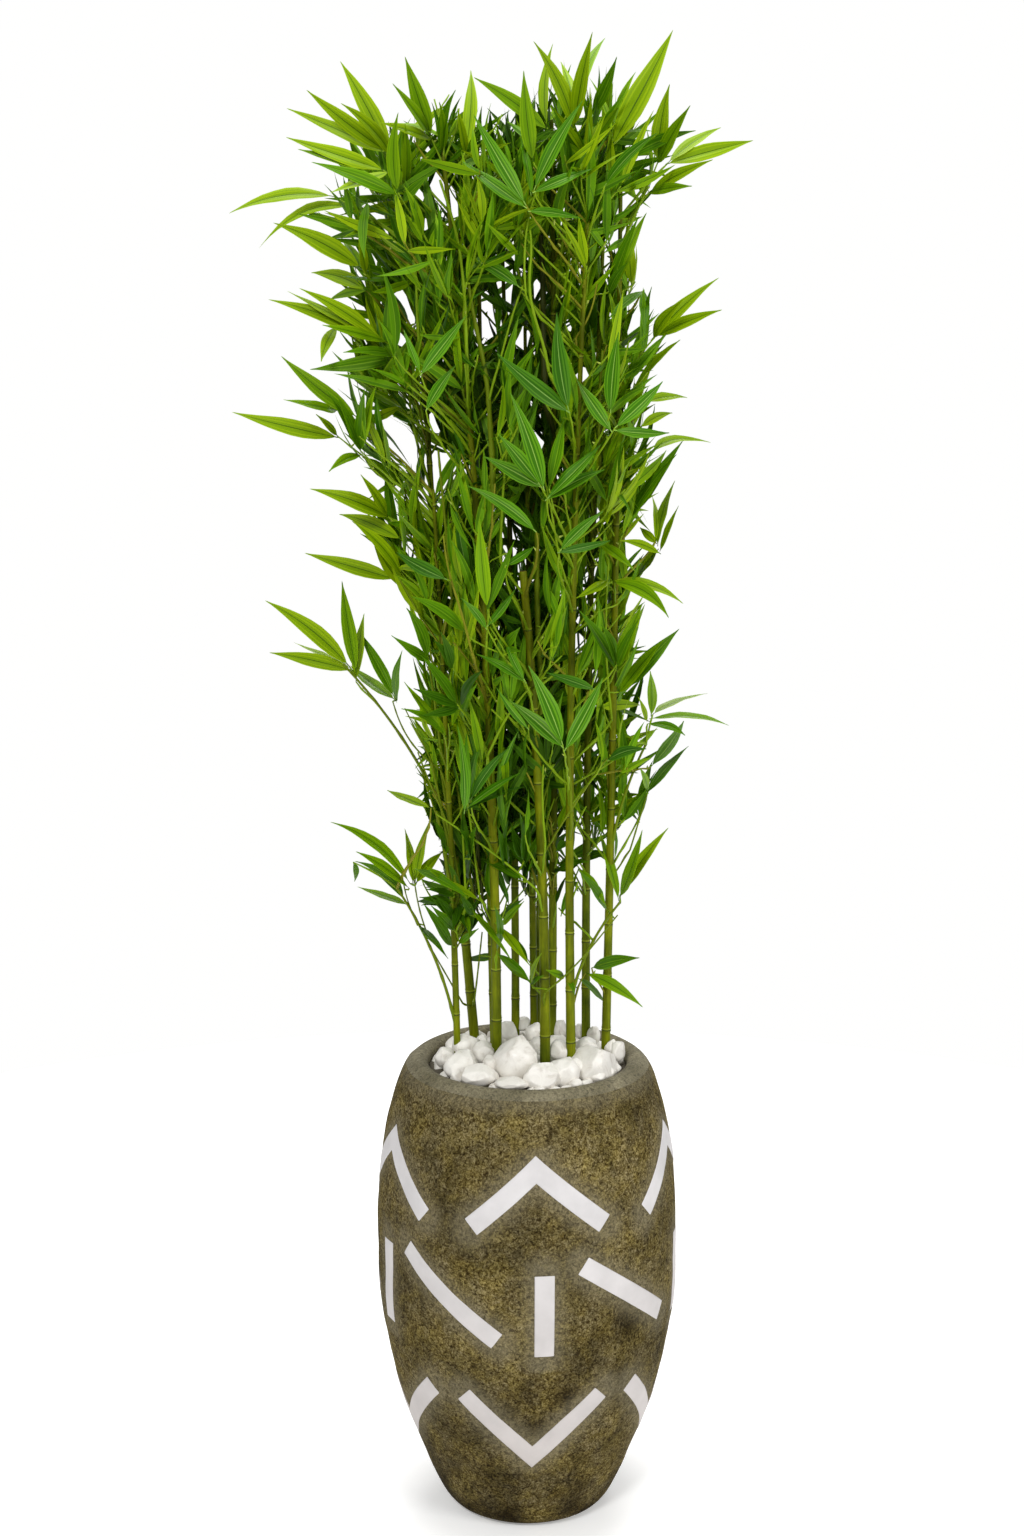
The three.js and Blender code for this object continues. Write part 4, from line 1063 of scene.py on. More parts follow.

# Sprays at the face and rim of the crown. Each row: x, z on the plane y = 0,
# its depth y, its kind, and its leaves as (heading, reach, breadth as seen
# from the front[, arch]); mm and degrees, headings from +X towards +Z.
# Painted light and shade: a spray's kind sets its tone, lime on lit sprays at the rim and top, deep on shaded sprays
# inside the crown.
KINDS = {"l": "lime", "m": "mid", "f": "front", "d": "deep"}
SPRAYS = [
    (-182, 1859, -30, "l", [(117, 125, 23), (143, 126, 20), (157, 137, 17), (134, 83, 16)]),
    (-187, 1836, -60, "l", [(162, 128, 18), (166, 110, 14), (203, 72, 12)]),
    (-168, 1808, -90, "m", [(151, 96, 17), (161, 114, 17), (90, 97, 17), (30, 46, 12)]),
    (-250, 1803, -40, "l", [(189, 136, 15, 45)]),
    (-227, 1790, -40, "l", [(203, 130, 13, 88)]),
    (-207, 1799, -70, "m", [(267, 72, 13, -10)]),
    (-126, 1879, -50, "l", [(107, 101, 21), (165, 65, 12), (127, 79, 12)]),
    (-111, 1859, -40, "m", [(77, 78, 13), (93, 61, 11)]),
    (-80, 1861, -70, "l", [(86, 97, 18), (101, 52, 10)]),
    (24, 1889, -20, "l", [(147, 112, 19), (86, 103, 13)]),
    (59, 1889, 0, "l", [(116, 119, 19), (79, 120, 19)]),
    (59, 1921, 25, "l", [(64, 88, 16), (111, 53, 12)]),
    (81, 1906, -10, "m", [(66, 77, 16)]),
    (105, 1864, -60, "l", [(61, 162, 28), (53, 79, 13)]),
    (166, 1846, -30, "l", [(82, 97, 21), (60, 81, 17)]),
    (124, 1849, -20, "m", [(22, 97, 16)]),
    (98, 1816, -145, "f", [(44, 90, 14)]),
    (179, 1845, 10, "l", [(15, 113, 20), (34, 81, 13)]),
    (156, 1809, -20, "l", [(27, 90, 15), (8, 55, 13)]),
    (7, 1811, -160, "f", [(61, 122, 17), (104, 73, 9), (19, 75, 13)]),
    (-3, 1792, -168, "f", [(121, 125, 18), (147, 93, 15), (346, 72, 11)]),
    (6, 1846, -120, "m", [(97, 110, 19)]),
    (106, 1683, -60, "m", [(65, 108, 18), (70, 100, 14), (58, 43, 12)]),
    (149, 1684, -30, "m", [(219, 58, 12), (273, 56, 13)]),
    (165, 1625, -20, "l", [(43, 111, 17), (53, 59, 16), (22, 93, 15)]),
    (156, 1580, -20, "l", [(44, 59, 8)]),
    (151, 1606, -10, "m", [(92, 82, 12), (84, 84, 9)]),
    (-215, 1712, -30, "l", [(154, 127, 24), (125, 48, 12), (95, 52, 11)]),
    (-211, 1685, 0, "l", [(163, 74, 19), (195, 50, 12)]),
    (-193, 1624, -50, "l", [(161, 150, 21), (149, 120, 17), (153, 132, 12), (167, 76, 13)]),
    (-249, 1639, -30, "l", [(246, 50, 15)]),
    (-223, 1521, -10, "l", [(142, 127, 20)]),
    (-249, 1530, 0, "m", [(169, 73, 12)]),
    (-250, 1497, -10, "l", [(168, 141, 21), (135, 40, 9)]),
    (-221, 1479, -20, "m", [(215, 50, 12), (120, 89, 16), (112, 78, 13), (85, 80, 15), (323, 81, 17)]),
    (-170, 1601, -40, "m", [(188, 115, 19), (176, 71, 12)]),
    (-141, 1579, -172, "f", [(50, 90, 16), (110, 56, 9)]),
    (-134, 1530, -168, "f", [(57, 67, 14)]),
    (-11, 1688, -120, "f", [(153, 77, 15)]),
    (53, 1531, -178, "f", [(143, 113, 21), (98, 120, 21)]),
    (108, 1527, -170, "f", [(84, 100, 19)]),
    (114, 1508, -162, "f", [(130, 77, 17), (44, 82, 17), (355, 68, 13)]),
    (153, 1541, -40, "l", [(7, 55, 11)]),
    (147, 1508, -20, "l", [(25, 46, 12)]),
    (16, 1433, -186, "f", [(109, 120, 20), (130, 81, 18), (153, 79, 18)]),
    (25, 1415, -182, "f", [(46, 95, 15), (26, 80, 16)]),
    (11, 1371, -170, "f", [(147, 104, 16)]),
    (28, 1428, -176, "m", [(79, 88, 15)]),
    (42, 1346, -170, "f", [(42, 74, 14), (11, 65, 11)]),
    (-30, 1326, -170, "f", [(35, 44, 11)]),
    (-54, 1268, -186, "m", [(94, 115, 18), (69, 93, 11)]),
    (-55, 1245, -180, "f", [(132, 49, 10), (53, 58, 10)]),
    (135, 1390, -20, "m", [(56, 123, 17), (54, 103, 13)]),
    (163, 1476, 0, "l", [(9, 78, 11, 75)]),
    (169, 1359, 0, "l", [(72, 84, 12), (58, 56, 8), (96, 61, 9), (139, 28, 11), (243, 55, 12), (178, 48, 11)]),
    (95, 1357, -40, "m", [(321, 60, 13)]),
    (112, 1305, -60, "l", [(343, 97, 13, 50), (327, 88, 18, 55), (204, 52, 12)]),
    (-185, 1392, -30, "l", [(160, 108, 21), (123, 65, 13)]),
    (-167, 1361, -40, "l", [(158, 88, 19)]),
    (-167, 1313, -40, "l", [(132, 97, 17)]),
    (-174, 1308, -20, "l", [(163, 126, 20)]),
    (-107, 1308, -150, "f", [(151, 73, 18)]),
    (-84, 1238, -125, "m", [(147, 82, 17), (143, 64, 15)]),
    (-238, 1191, 0, "l", [(142, 143, 23), (169, 109, 19), (95, 116, 19), (157, 82, 7)]),
    (-230, 1171, 0, "l", [(82, 93, 15)]),
    (-179, 1150, 15, "m", [(143, 73, 15), (117, 104, 16), (79, 65, 11)]),
    (-133, 1202, -100, "m", [(113, 72, 16), (147, 57, 13)]),
    (-4, 1172, -160, "f", [(151, 71, 11), (116, 58, 10)]),
    (91, 1160, -165, "f", [(161, 67, 13)]),
    (47, 1085, -188, "f", [(140, 89, 18), (113, 111, 21), (59, 100, 18)]),
    (107, 1063, -150, "f", [(17, 53, 14)]),
    (119, 1194, -100, "m", [(67, 86, 18), (65, 68, 13), (124, 86, 14), (113, 57, 12)]),
    (123, 1157, -60, "m", [(48, 114, 22), (50, 90, 16)]),
    (168, 1127, 0, "l", [(95, 59, 13), (20, 80, 8, 25), (351, 104, 9, 55), (131, 31, 7)]),
    (161, 1114, -20, "m", [(342, 53, 11, 30)]),
    (166, 1055, 10, "m", [(55, 77, 16)]),
    (162, 1022, 10, "m", [(49, 83, 13), (109, 34, 9)]),
    (-77, 1009, -150, "f", [(99, 100, 13), (94, 88, 11), (79, 88, 11), (54, 86, 13), (30, 74, 10), (13, 75, 10)]),
    (126, 877, -30, "l", [(55, 113, 16), (73, 95, 15, -20), (109, 97, 12)]),
    (108, 857, -40, "m", [(126, 67, 12)]),
    (88, 774, -20, "m", [(13, 67, 17, 10)]),
    (80, 767, -20, "m", [(328, 92, 16)]),
    (69, 760, -25, "m", [(315, 58, 8)]),
    (51, 763, -40, "m", [(162, 27, 11), (296, 31, 8)]),
    (2, 784, 20, "m", [(128, 63, 13)]),
    (3, 754, 20, "m", [(138, 58, 11)]),
    (-38, 791, 20, "m", [(185, 50, 11, -8)]),
    (-38, 845, 20, "m", [(39, 43, 11)]),
    (-131, 998, -150, "l", [(158, 61, 11, -12)]),
    (-14, 898, -60, "m", [(148, 57, 11)]),
    (44, 915, 40, "d", [(15, 33, 8), (201, 16, 11)]),
    (-237, 923, -28, "m", [(273, 27, 8)]),
    (-90, 822, 5, "d", [(106, 50, 11), (88, 52, 11), (68, 44, 10)]),
    (-42, 798, -50, "m", [(94, 64, 11)]),
    (-36, 834, -50, "m", [(48, 46, 10), (123, 35, 9)]),
    (-36, 831, -52, "l", [(306, 67, 12, 10)]),
    (-42, 795, -52, "m", [(318, 62, 11)]),
    (-78, 859, -55, "m", [(306, 95, 8)]),
    (5, 751, -45, "l", [(81, 41, 7), (71, 46, 7)]),
    (5, 750, -40, "m", [(36, 22, 7)]),
    (-5, 897, -92, "m", [(153, 65, 10)]),
    (37, 908, 30, "m", [(18, 50, 10)]),
    (41, 937, 40, "d", [(66, 31, 12)]),
    (39, 863, 30, "m", [(71, 46, 6)]),
    (-24, 893, 50, "d", [(106, 50, 10), (86, 54, 10)]),
    (-62, 909, 40, "d", [(103, 49, 10), (79, 43, 9)]),
    (-91, 848, 0, "m", [(122, 38, 11), (72, 44, 11)]),
    (-79, 826, 10, "d", [(107, 43, 11), (76, 47, 11), (49, 36, 9)]),
    (-99, 884, 5, "m", [(105, 41, 10), (78, 46, 10), (132, 34, 9)]),
    (-81, 898, 15, "d", [(106, 44, 10), (80, 48, 10)]),
    (-111, 937, -35, "m", [(111, 47, 9), (94, 51, 9)]),
    (-78, 929, -45, "d", [(111, 44, 10), (79, 45, 9)]),
    (-160, 893, -30, "l", [(141, 136, 15, 56)]),
    (-156, 893, -31, "l", [(98, 77, 13, -8)]),
    (-153, 894, -32, "l", [(76, 87, 13, -10)]),
    (-152, 893, -34, "l", [(50, 58, 14)]),
    (-161, 886, -36, "m", [(144, 88, 13, 16)]),
    (-168, 869, -30, "m", [(141, 86, 15, 58)]),
    (-163, 863, -28, "m", [(159, 73, 10, -8)]),
    (-153, 914, -38, "m", [(330, 83, 13, 12)]),
    (-123, 898, -40, "l", [(333, 66, 10, 6)]),
    (-99, 876, -33, "d", [(188, 52, 12), (166, 40, 9)]),
    (-102, 804, -26, "m", [(124, 74, 14, -8)]),
    (-101, 834, -24, "d", [(123, 50, 11)]),
    (-150, 836, -22, "m", [(310, 64, 9, 6)]),
    (-94, 808, -12, "m", [(39, 35, 9)]),
    (-95, 863, -14, "d", [(257, 36, 11), (289, 33, 11)]),
    (-87, 853, -10, "m", [(27, 21, 9), (283, 35, 9)]),
    (-5, 927, -58, "d", [(96, 64, 13), (81, 57, 11), (110, 54, 12), (133, 39, 11)]),
    (-29, 915, -50, "d", [(120, 48, 12), (102, 59, 12), (88, 66, 11)]),
    (52, 957, 10, "d", [(235, 24, 11), (61, 25, 9)]),
    (70, 915, -20, "m", [(305, 66, 12, 6)]),
    (68, 918, 15, "d", [(193, 31, 11)]),
    (-99, 880, -34, "m", [(156, 50, 12), (168, 40, 11)]),
    (-103, 867, -31, "d", [(171, 45, 12), (186, 42, 11)]),
    (-98, 850, -28, "d", [(145, 41, 12), (127, 42, 11)]),
    (-99, 828, -24, "m", [(134, 47, 12)]),
    (-110, 901, -38, "m", [(149, 33, 9)]),
    (-78, 876, -30, "l", [(145, 39, 11)]),
    (-73, 849, -34, "d", [(123, 37, 11), (107, 42, 11)]),
    (-95, 1141, -122, "d", [(127, 79, 14), (160, 60, 13), (199, 49, 13), (52, 55, 12)]),
    (-114, 1101, -114, "m", [(127, 84, 13), (129, 57, 12), (150, 63, 9)]),
    (-31, 1217, -118, "m", [(52, 33, 12), (347, 22, 10)]),
    (-101, 1190, -112, "d", [(107, 49, 12), (124, 44, 12)]),
]


def reach_share(p):
    """0 on the crown's middle line, 1 on its outline."""
    p = np.atleast_2d(p)
    lo = np.interp(p[:, 2], OUTLINE[:, 0], OUTLINE[:, 1])
    hi = np.interp(p[:, 2], OUTLINE[:, 0], OUTLINE[:, 2])
    deep = np.interp(p[:, 2], DEPTH_LINE[:, 0], DEPTH_LINE[:, 1])
    u = (p[:, 0] - (lo + hi) / 2) / ((hi - lo) / 2)
    v = (p[:, 1] - DEPTH_MID) / deep
    return np.sqrt(u * u + v * v)


def middle(z):
    return np.array([
        (np.interp(z, OUTLINE[:, 0], OUTLINE[:, 1]) + np.interp(z, OUTLINE[:, 0], OUTLINE[:, 2])) / 2,
        DEPTH_MID, z])


def unit(v):
    v = np.asarray(v, float)
    return v / (np.linalg.norm(v) + 1e-12)


def slide(p, y):
    """p moved along its sight line from the front to depth y."""
    k = (y - EYE[1]) / (p[1] - EYE[1])
    return EYE + (p - EYE) * k


def square_to(v, d):
    return unit(v - d * np.dot(v, d))


# Maps of the crown as seen from the front, one cell per millimetre of the plane
# y = 0: the openings, and the depth of what shows at each spot.
MAP_X, MAP_Z, MAP_WIDE, MAP_TALL = -0.43, 0.60, 780, 1460
open_map = np.zeros((MAP_TALL, MAP_WIDE), bool)
limb_map = np.full((MAP_TALL, MAP_WIDE), -9.0)
face_map = np.full((MAP_TALL, MAP_WIDE), -9.0)


def cells(flat):
    i = np.clip(((flat[..., 2] - MAP_Z) * 1000).astype(int), 0, MAP_TALL - 1)
    k = np.clip(((flat[..., 0] - MAP_X) * 1000).astype(int), 0, MAP_WIDE - 1)
    return i, k


def stamp(target, points, radii, value):
    """Marks a row of discs on a map; value is True or a depth."""
    points = np.asarray(points, float)
    i, k = cells(to_mid(points))
    for a, b, r, y in zip(i, k, np.broadcast_to(radii, len(points)), points[:, 1]):
        n = max(1, int(round(r * 1000)))
        u, v = np.mgrid[-n : n + 1, -n : n + 1]
        near = u * u + v * v <= n * n + 1
        rows = np.clip(a + u[near], 0, MAP_TALL - 1)
        cols = np.clip(b + v[near], 0, MAP_WIDE - 1)
        if value is True:
            target[rows, cols] = True
        else:
            target[rows, cols] = np.maximum(target[rows, cols], y + value)


for hole in SKY:
    stamp(open_map, [(hole[0], 0.0, hole[1])], [hole[2] * 0.86], True)
for cane_name, spans in SHOWN.items():
    for lo_z, hi_z in spans:
        zs = np.arange(lo_z, min(hi_z, canes[cane_name].top), 2.0) * 0.001
        stamp(limb_map, [canes[cane_name].at(z) for z in zs], [canes[cane_name].radius(z) + 0.0022 for z in zs], -0.004)

BLADE_AT = np.array([0.06, 0.18, 0.3, 0.42, 0.54, 0.66, 0.78, 0.9, 1.0])
BLADE_HALF = np.abs(np.sin(np.pi * BLADE_AT**0.68)) ** 1.12


def blade_points(base, tip, normal, width):
    line = base + BLADE_AT[:, None] * (tip - base)
    side = np.cross(unit(tip - base), normal)[None] * (BLADE_HALF * width * 0.42)[:, None]
    return np.concatenate([line, line + side, line - side])


def leaf_fits(base, tip, normal, width, trim=0.0):
    """Whether a grown leaf keeps to the crown's outline, its openings, the
    limbs that show and the sprays already laid at its face."""
    if reach_share(tip)[0] > (1.14 - trim * 8 if tip[1] > 0.02 else 1.03):
        return False
    points = blade_points(base, tip, normal, width)
    flat = to_mid(points)
    x, z = flat[8, 0], flat[8, 2]
    slack = 0.006 - trim
    if not np.interp(z, OUTLINE[:, 0], OUTLINE[:, 1]) - slack <= x <= np.interp(z, OUTLINE[:, 0], OUTLINE[:, 2]) + slack:
        return False
    if z > np.interp(x, TOP_LINE[:, 0], TOP_LINE[:, 1]) + 0.004 - trim:
        return False
    i, k = cells(flat)
    if open_map[i, k].sum() > 1:
        return False
    if (points[:, 1] < limb_map[i, k]).sum() > 1:
        return False
    return (points[:, 1] < face_map[i, k]).sum() <= 4


def open_hits(path):
    """How many steps of a twig cross an opening."""
    path = np.asarray(path, float)
    s = np.linspace(0, 1, 4)[None, :, None]
    fine = (path[:-1, None] * (1 - s) + path[1:, None] * s).reshape(-1, 3)
    return int(open_map[cells(to_mid(fine))].sum())


# ------------------------------------------------------------ growing sprays
leaves = []
twig_sets = {"low": Builder(), "high": Builder()}


def add_leaf(base, tip, normal, width, arch, tone, home, sickle=None, placed=False):
    leaves.append(
        (base, tip, normal, width, arch, rng.uniform(-0.05, 0.05) if sickle is None else sickle,
         rng.uniform(-0.35, 0.35), rng.uniform(0.2, 0.46), rng.uniform(0, 6.28), TONE_NAMES.index(tone), home, placed)
    )


def twig_tube(path, radii, sides, mat):
    twig_sets["low" if path[0][2] < 1.42 else "high"].tube(path, radii, sides, mat)


def twig_course(p0, p3, t0, t3):
    run = float(np.linalg.norm(p3 - p0))
    c1, c2 = p0 + t0 * run * 0.36, p3 - t3 * run * 0.30
    n = max(5, int(run / 0.012) + 1)
    s = np.linspace(0, 1, n)[:, None]
    return (1 - s) ** 3 * p0 + 3 * s * (1 - s) ** 2 * c1 + 3 * s * s * (1 - s) * c2 + s**3 * p3


def grow_twig(p0, p3, t0, t3, r0, r1, mat=0, buds=True):
    path = twig_course(p0, p3, t0, t3)
    n = len(path)
    kink = np.zeros((n, 3))
    for i in range(3, n - 1, 3):
        kink[i] = [rng.uniform(-1, 1) * 0.0012 for _ in range(3)]
    path = path + kink
    radii = np.linspace(r0, r1, n)
    radii[3:-1:3] *= 1.4
    twig_tube(path, radii, 6 if r0 > 0.0016 else 5, mat)
    if buds:
        for i in range(3, n - 1, 3):
            if rng.random() < 0.5:
                out = unit(np.array([rng.gauss(0, 1), rng.gauss(0, 1), rng.uniform(0.2, 1.4)]))
                size = rng.uniform(0.004, 0.009)
                tip = path[i] + out * size
                twig_tube([path[i], path[i] + out * size * 0.55, tip],
                           [radii[i] * 0.9, radii[i] * 0.8, radii[i] * 0.25], 4, 2 if rng.random() < 0.4 else 0)
    return path


def limbs_near(p):
    """Spots on the canes and boughs for a twig up to p, nearest first."""
    found = []
    for cane in canes.values():
        level = min(p[2], cane.height - 0.01)
        across = np.linalg.norm(p[:2] - cane.at(level)[:2])
        for drop in (0.028, 0.075):
            z = min(max(p[2] - drop - 0.62 * across, 0.70), cane.height - 0.006)
            spot = cane.at(z)
            found.append((float(np.linalg.norm(p - spot)), spot))
    for path in bough_path.values():
        for i in (10, 14, 18, 22, 24):
            if path[i][2] < p[2] + 0.004:
                found.append((float(np.linalg.norm(p - path[i])) * 0.9, path[i]))
    found.sort(key=lambda f: f[0])
    return found


def join_to_limb(tip, heading, thick=None, must=True, mat=None):
    """A twig from a cane or bough to tip that keeps out of the openings."""
    best = None
    for cost, spot in limbs_near(tip)[:7]:
        run = tip - spot
        length = float(np.linalg.norm(run))
        if best is not None and length > 0.16:
            continue
        flat = unit(np.array([run[0], run[1], 0.0]))
        t0 = unit(unit(run) * 0.8 + flat * 0.2 + np.array([0.0, 0.0, 0.35]))
        t3 = unit(unit(run) * 0.9 + heading * 0.4)
        hits = open_hits(twig_course(spot, tip, t0, t3))
        score = cost + hits * 0.012
        if best is None or score < best[0]:
            best = (score, hits, spot, t0, t3, length)
        if hits == 0:
            break
    _, hits, spot, t0, t3, length = best
    if hits > 0 and not must:
        return False
    r0 = thick or min(0.0024, 0.0013 + length * 0.005)
    if mat is None:
        mat = 1 if rng.random() < 0.15 else 0
    grow_twig(spot, tip, t0, t3, r0, thick or 0.0009, mat)
    return True


stem_points = []
for depth, r0, r1, bark, joined, course in STEMS:
    pts = np.array([from_mid(x * 0.001, z * 0.001, depth * 0.001) for x, z in course])
    for _ in range(3):
        pts[1:-1] = (pts[:-2] + 2 * pts[1:-1] + pts[2:]) / 4
    far = np.concatenate([[0.0], np.cumsum(np.linalg.norm(np.diff(pts, axis=0), axis=1))])
    at = np.linspace(0, far[-1], max(6, int(far[-1] / 0.006)))
    path = np.stack([pchip(far, pts[:, i], at) for i in range(3)], 1)
    radii = np.interp(at, [0, far[-1]], [r0 * 0.001, r1 * 0.001])
    stamp(limb_map, path, radii + 0.0018, -0.003)
    stem_points.append(path[1:])
    swollen = radii.copy()
    step = 5 if r0 > 2.4 else 4
    swollen[step:-1:step] *= 1.22
    twig_tube(path, swollen, 9 if r0 > 2.4 else 6, bark)
    if joined:
        join_to_limb(path[0], unit(path[1] - path[0]), r0 * 0.001, True, bark)


stem_points = np.concatenate(stem_points)


def join_to_stem(start, mean):
    """A short twig to a thin limb close below, where there is one."""
    run = start - stem_points
    far = np.linalg.norm(run, axis=1) + 2.0 * np.maximum(0.0, -run[:, 2])
    i = int(far.argmin())
    if far[i] > 0.036:
        return False
    if far[i] > 0.002:
        spot = stem_points[i]
        grow_twig(spot, start, unit(run[i]), unit(unit(run[i]) + mean), 0.0012, 0.0009, 0, False)
    return True


def placed_spray(x, z, y, kind, fan):
    tone = KINDS[kind]
    start = from_mid(x * 0.001, z * 0.001, y * 0.001)
    made = []
    for row in fan:
        heading, reach, seen = row[:3]
        a = math.radians(heading + rng.uniform(-1.0, 1.0))
        reach *= 0.001
        tip = start + reach * np.array([math.cos(a), 0.0, math.sin(a)])
        true = max(reach, min(rng.uniform(0.1, 0.132), reach * 1.7))
        shift = 0.8 * math.sqrt(max(0.0, true * true - reach * reach)) + rng.uniform(0.0, 0.014)
        front = y < -90
        sign = -1 if (rng.random() < 0.72) == (front or y < -5) else 1
        y1 = start[1] + sign * shift
        if abs(y1) > 0.222:
            y1 = start[1] - sign * shift * 0.5
        tip = slide(tip, max(-0.222, min(0.222, y1)))
        made.append((tip, unit(tip - start), seen * 0.001, row[3] if len(row) > 3 else None))
    mean = unit(sum(m[1] for m in made) + np.array([0.0, 0.0, 0.25]))
    order = sorted(range(len(made)), key=lambda i: -float(np.dot(made[i][1], mean)))
    home = start + mean * 0.06
    for rank, i in enumerate(order):
        tip, d, seen, arch = made[i]
        base = start - mean * 0.0042 * rank
        d = unit(tip - base)
        length = float(np.linalg.norm(tip - base))
        full = max(seen, min(0.0195, length * 0.155)) * rng.uniform(1.03, 1.12)
        face = min(1.0, seen / full * 1.02)
        view = square_to(EYE - base, d)
        q = np.cross(d, view)
        if q[2] < 0:
            q = -q
        normal = unit(view * face + q * math.sqrt(max(0.0, 1 - face * face)))
        sickle, bend = None, math.radians(rng.uniform(6, 24))
        if arch is not None:
            bow = math.radians(abs(arch)) / 8
            up = np.cross(d, normal)[2] > 0
            sickle = bow if up == (arch > 0) else -bow
            bend = math.radians(8)
        shade = tone
        if rng.random() < 0.28:
            shade = {"lime": "spring", "mid": "leaf", "front": "cool", "deep": "leaf"}[tone]
        if tone == "mid" and rng.random() < 0.3:
            shade = "spring"
        add_leaf(base, tip, normal, full, bend, shade, home, sickle, True)
        if arch is None:
            along = np.linspace(0.08, 1.0, 40)
            stamp(face_map, base + along[:, None] * (tip - base),
                  np.sin(np.pi * along**0.72) * seen * 0.5, -0.004)
    if not join_to_stem(start, mean):
        join_to_limb(start, mean)


for row in SPRAYS:
    placed_spray(*row)
placed_count = len(leaves)


# Painted light and shade: a leaf takes lighter tones towards the crown's outline and top, and darker tones inside, at
# the back and low in the middle.
def tone_for(p, front):
    share = float(reach_share(p)[0])
    u = rng.random()
    share += max(0.0, (p[2] - 1.72) * 0.9)
    if p[1] > 0.03:
        share -= 0.1
    if p[2] < 1.07 and abs(p[0] + 0.015) < 0.10:
        share -= 0.34
    if share > 0.86:
        return "lime" if u < 0.26 else "spring" if u < 0.62 else "mid"
    if share > 0.6:
        if front and u < 0.08:
            return "front"
        return "spring" if u < 0.26 else "mid" if u < 0.62 else "leaf"
    if share > 0.36:
        return "mid" if u < 0.24 else "leaf" if u < 0.66 else "deep"
    return "leaf" if u < 0.22 else "deep" if u < 0.66 else "dark"


INFILL_GAP = 0.0285
FAN = {2: (8, -30), 3: (4, 34, -36), 4: (2, 27, -30, 58), 5: (0, 24, -26, 50, -54), 6: (0, 18, -22, 40, -44, 68),
       7: (0, 16, -18, 34, -38, 58, -64)}


def grown_spray(start, axis, n, size, tone=None):
    """A fan of leaves at the end of a twig. Leaves that would close an opening
    or pass the outline are left off. Returns how many grew."""
    out = unit(start - middle(start[2]) + np.array([0.0, 0.0, 0.02]))
    face = square_to(out * 0.7 + np.array([0.0, 0.0, 0.4]) + nrng.normal(0, 0.55, 3), axis)
    side = np.cross(axis, face)
    grew = 0
    home = start + axis * 0.05
    trim = 0.036 * rng.random() ** 1.5
    tone = tone or tone_for(home, start[1] < -0.08)
    for rank, degrees in enumerate(FAN[n]):
        a = math.radians(degrees + rng.gauss(0, 6))
        lift = math.radians(rng.gauss(0, 13))
        d = unit(math.cos(a) * axis + math.sin(a) * side + math.sin(lift) * face)
        if rng.random() < 0.06:
            d = unit(d - np.array([0.0, 0.0, rng.uniform(0.7, 1.5)]))
        length = size * rng.uniform(0.84, 1.2) * (1.0 if rank < 3 else 0.9)
        width = length * rng.uniform(0.098, 0.13)
        normal = square_to(face + nrng.normal(0, 0.45, 3), d)
        base = start - axis * 0.004 * rank
        for attempt in range(4):
            tip = base + d * length
            if leaf_fits(base, tip, normal, width, trim):
                break
            length *= 0.88
            d = unit(d + np.array([0.0, 0.0, 0.22]) - 0.15 * out + nrng.normal(0, 0.1, 3))
            normal = square_to(normal, d)
        else:
            continue
        if length < 0.042:
            continue
        shade = tone
        if rng.random() < 0.24:
            shade = TONE_NAMES[max(0, min(len(TONE_NAMES) - 1, TONE_NAMES.index(tone) + rng.choice((-1, 1))))]
        add_leaf(base, tip, normal, max(width, 0.0078), math.radians(rng.uniform(6, 36)), shade, home)
        grew += 1
    return grew


def branch(cane, z, bearing, rise, length):
    """A branch off a cane node, with side twigs; each ends in a spray."""
    p0 = cane.at(z)
    if math.sin(bearing) < -0.3 and z < 1.6 and rng.random() < 0.45:
        return 0
    for attempt in range(4):
        flat = np.array([math.cos(bearing), math.sin(bearing), 0.0])
        d = unit(flat * math.cos(rise) + np.array([0.0, 0.0, math.sin(rise)]))
        while length > 0.03 and reach_share(p0 + d * length)[0] > 0.80:
            length *= 0.85
        end = p0 + d * length
        t0 = unit(flat * 0.8 + np.array([0.0, 0.0, 0.6]))
        t3 = unit(d * 0.8 + np.array([0.0, 0.0, 0.35]))
        course = twig_course(p0, end, t0, t3)
        if open_hits(course) == 0:
            break
        bearing += rng.uniform(-0.9, 0.9)
        length *= 0.85
    else:
        return 0
    grew = grown_spray(end, t3, rng.choice((4, 5, 5, 6)), rng.uniform(0.088, 0.116))
    turn = rng.choice((-1, 1))
    count = int(length / 0.036)
    for k in range(count):
        spot = course[int((0.86 - 0.66 * (k + rng.uniform(0, 0.5)) / max(1, count)) * (len(course) - 1))]
        turn = -turn
        across = unit(np.cross(t3, [0.0, 0.0, 1.0])) * turn
        heading = unit(t3 * 0.7 + across * rng.uniform(0.5, 0.95) + np.array([0.0, 0.0, rng.uniform(0.1, 0.6)]) + nrng.normal(0, 0.16, 3))
        tip = spot + heading * rng.uniform(0.02, 0.05)
        t1 = unit(t3 + across * 0.4)
        if reach_share(tip)[0] > 0.86 or open_hits(twig_course(spot, tip, t1, heading)):
            continue
        more = grown_spray(tip, unit(heading * 0.8 + np.array([0.0, 0.0, 0.3])), rng.choice((3, 4, 4, 5)), rng.uniform(0.08, 0.11))
        if more:
            grow_twig(spot, tip, t1, heading, 0.0011, 0.0008, 0, False)
        grew += more
    if grew:
        grow_twig(p0, end, t0, t3, min(0.0022, 0.0013 + length * 0.004), 0.0010, 1 if rng.random() < 0.2 else 0)
    return grew


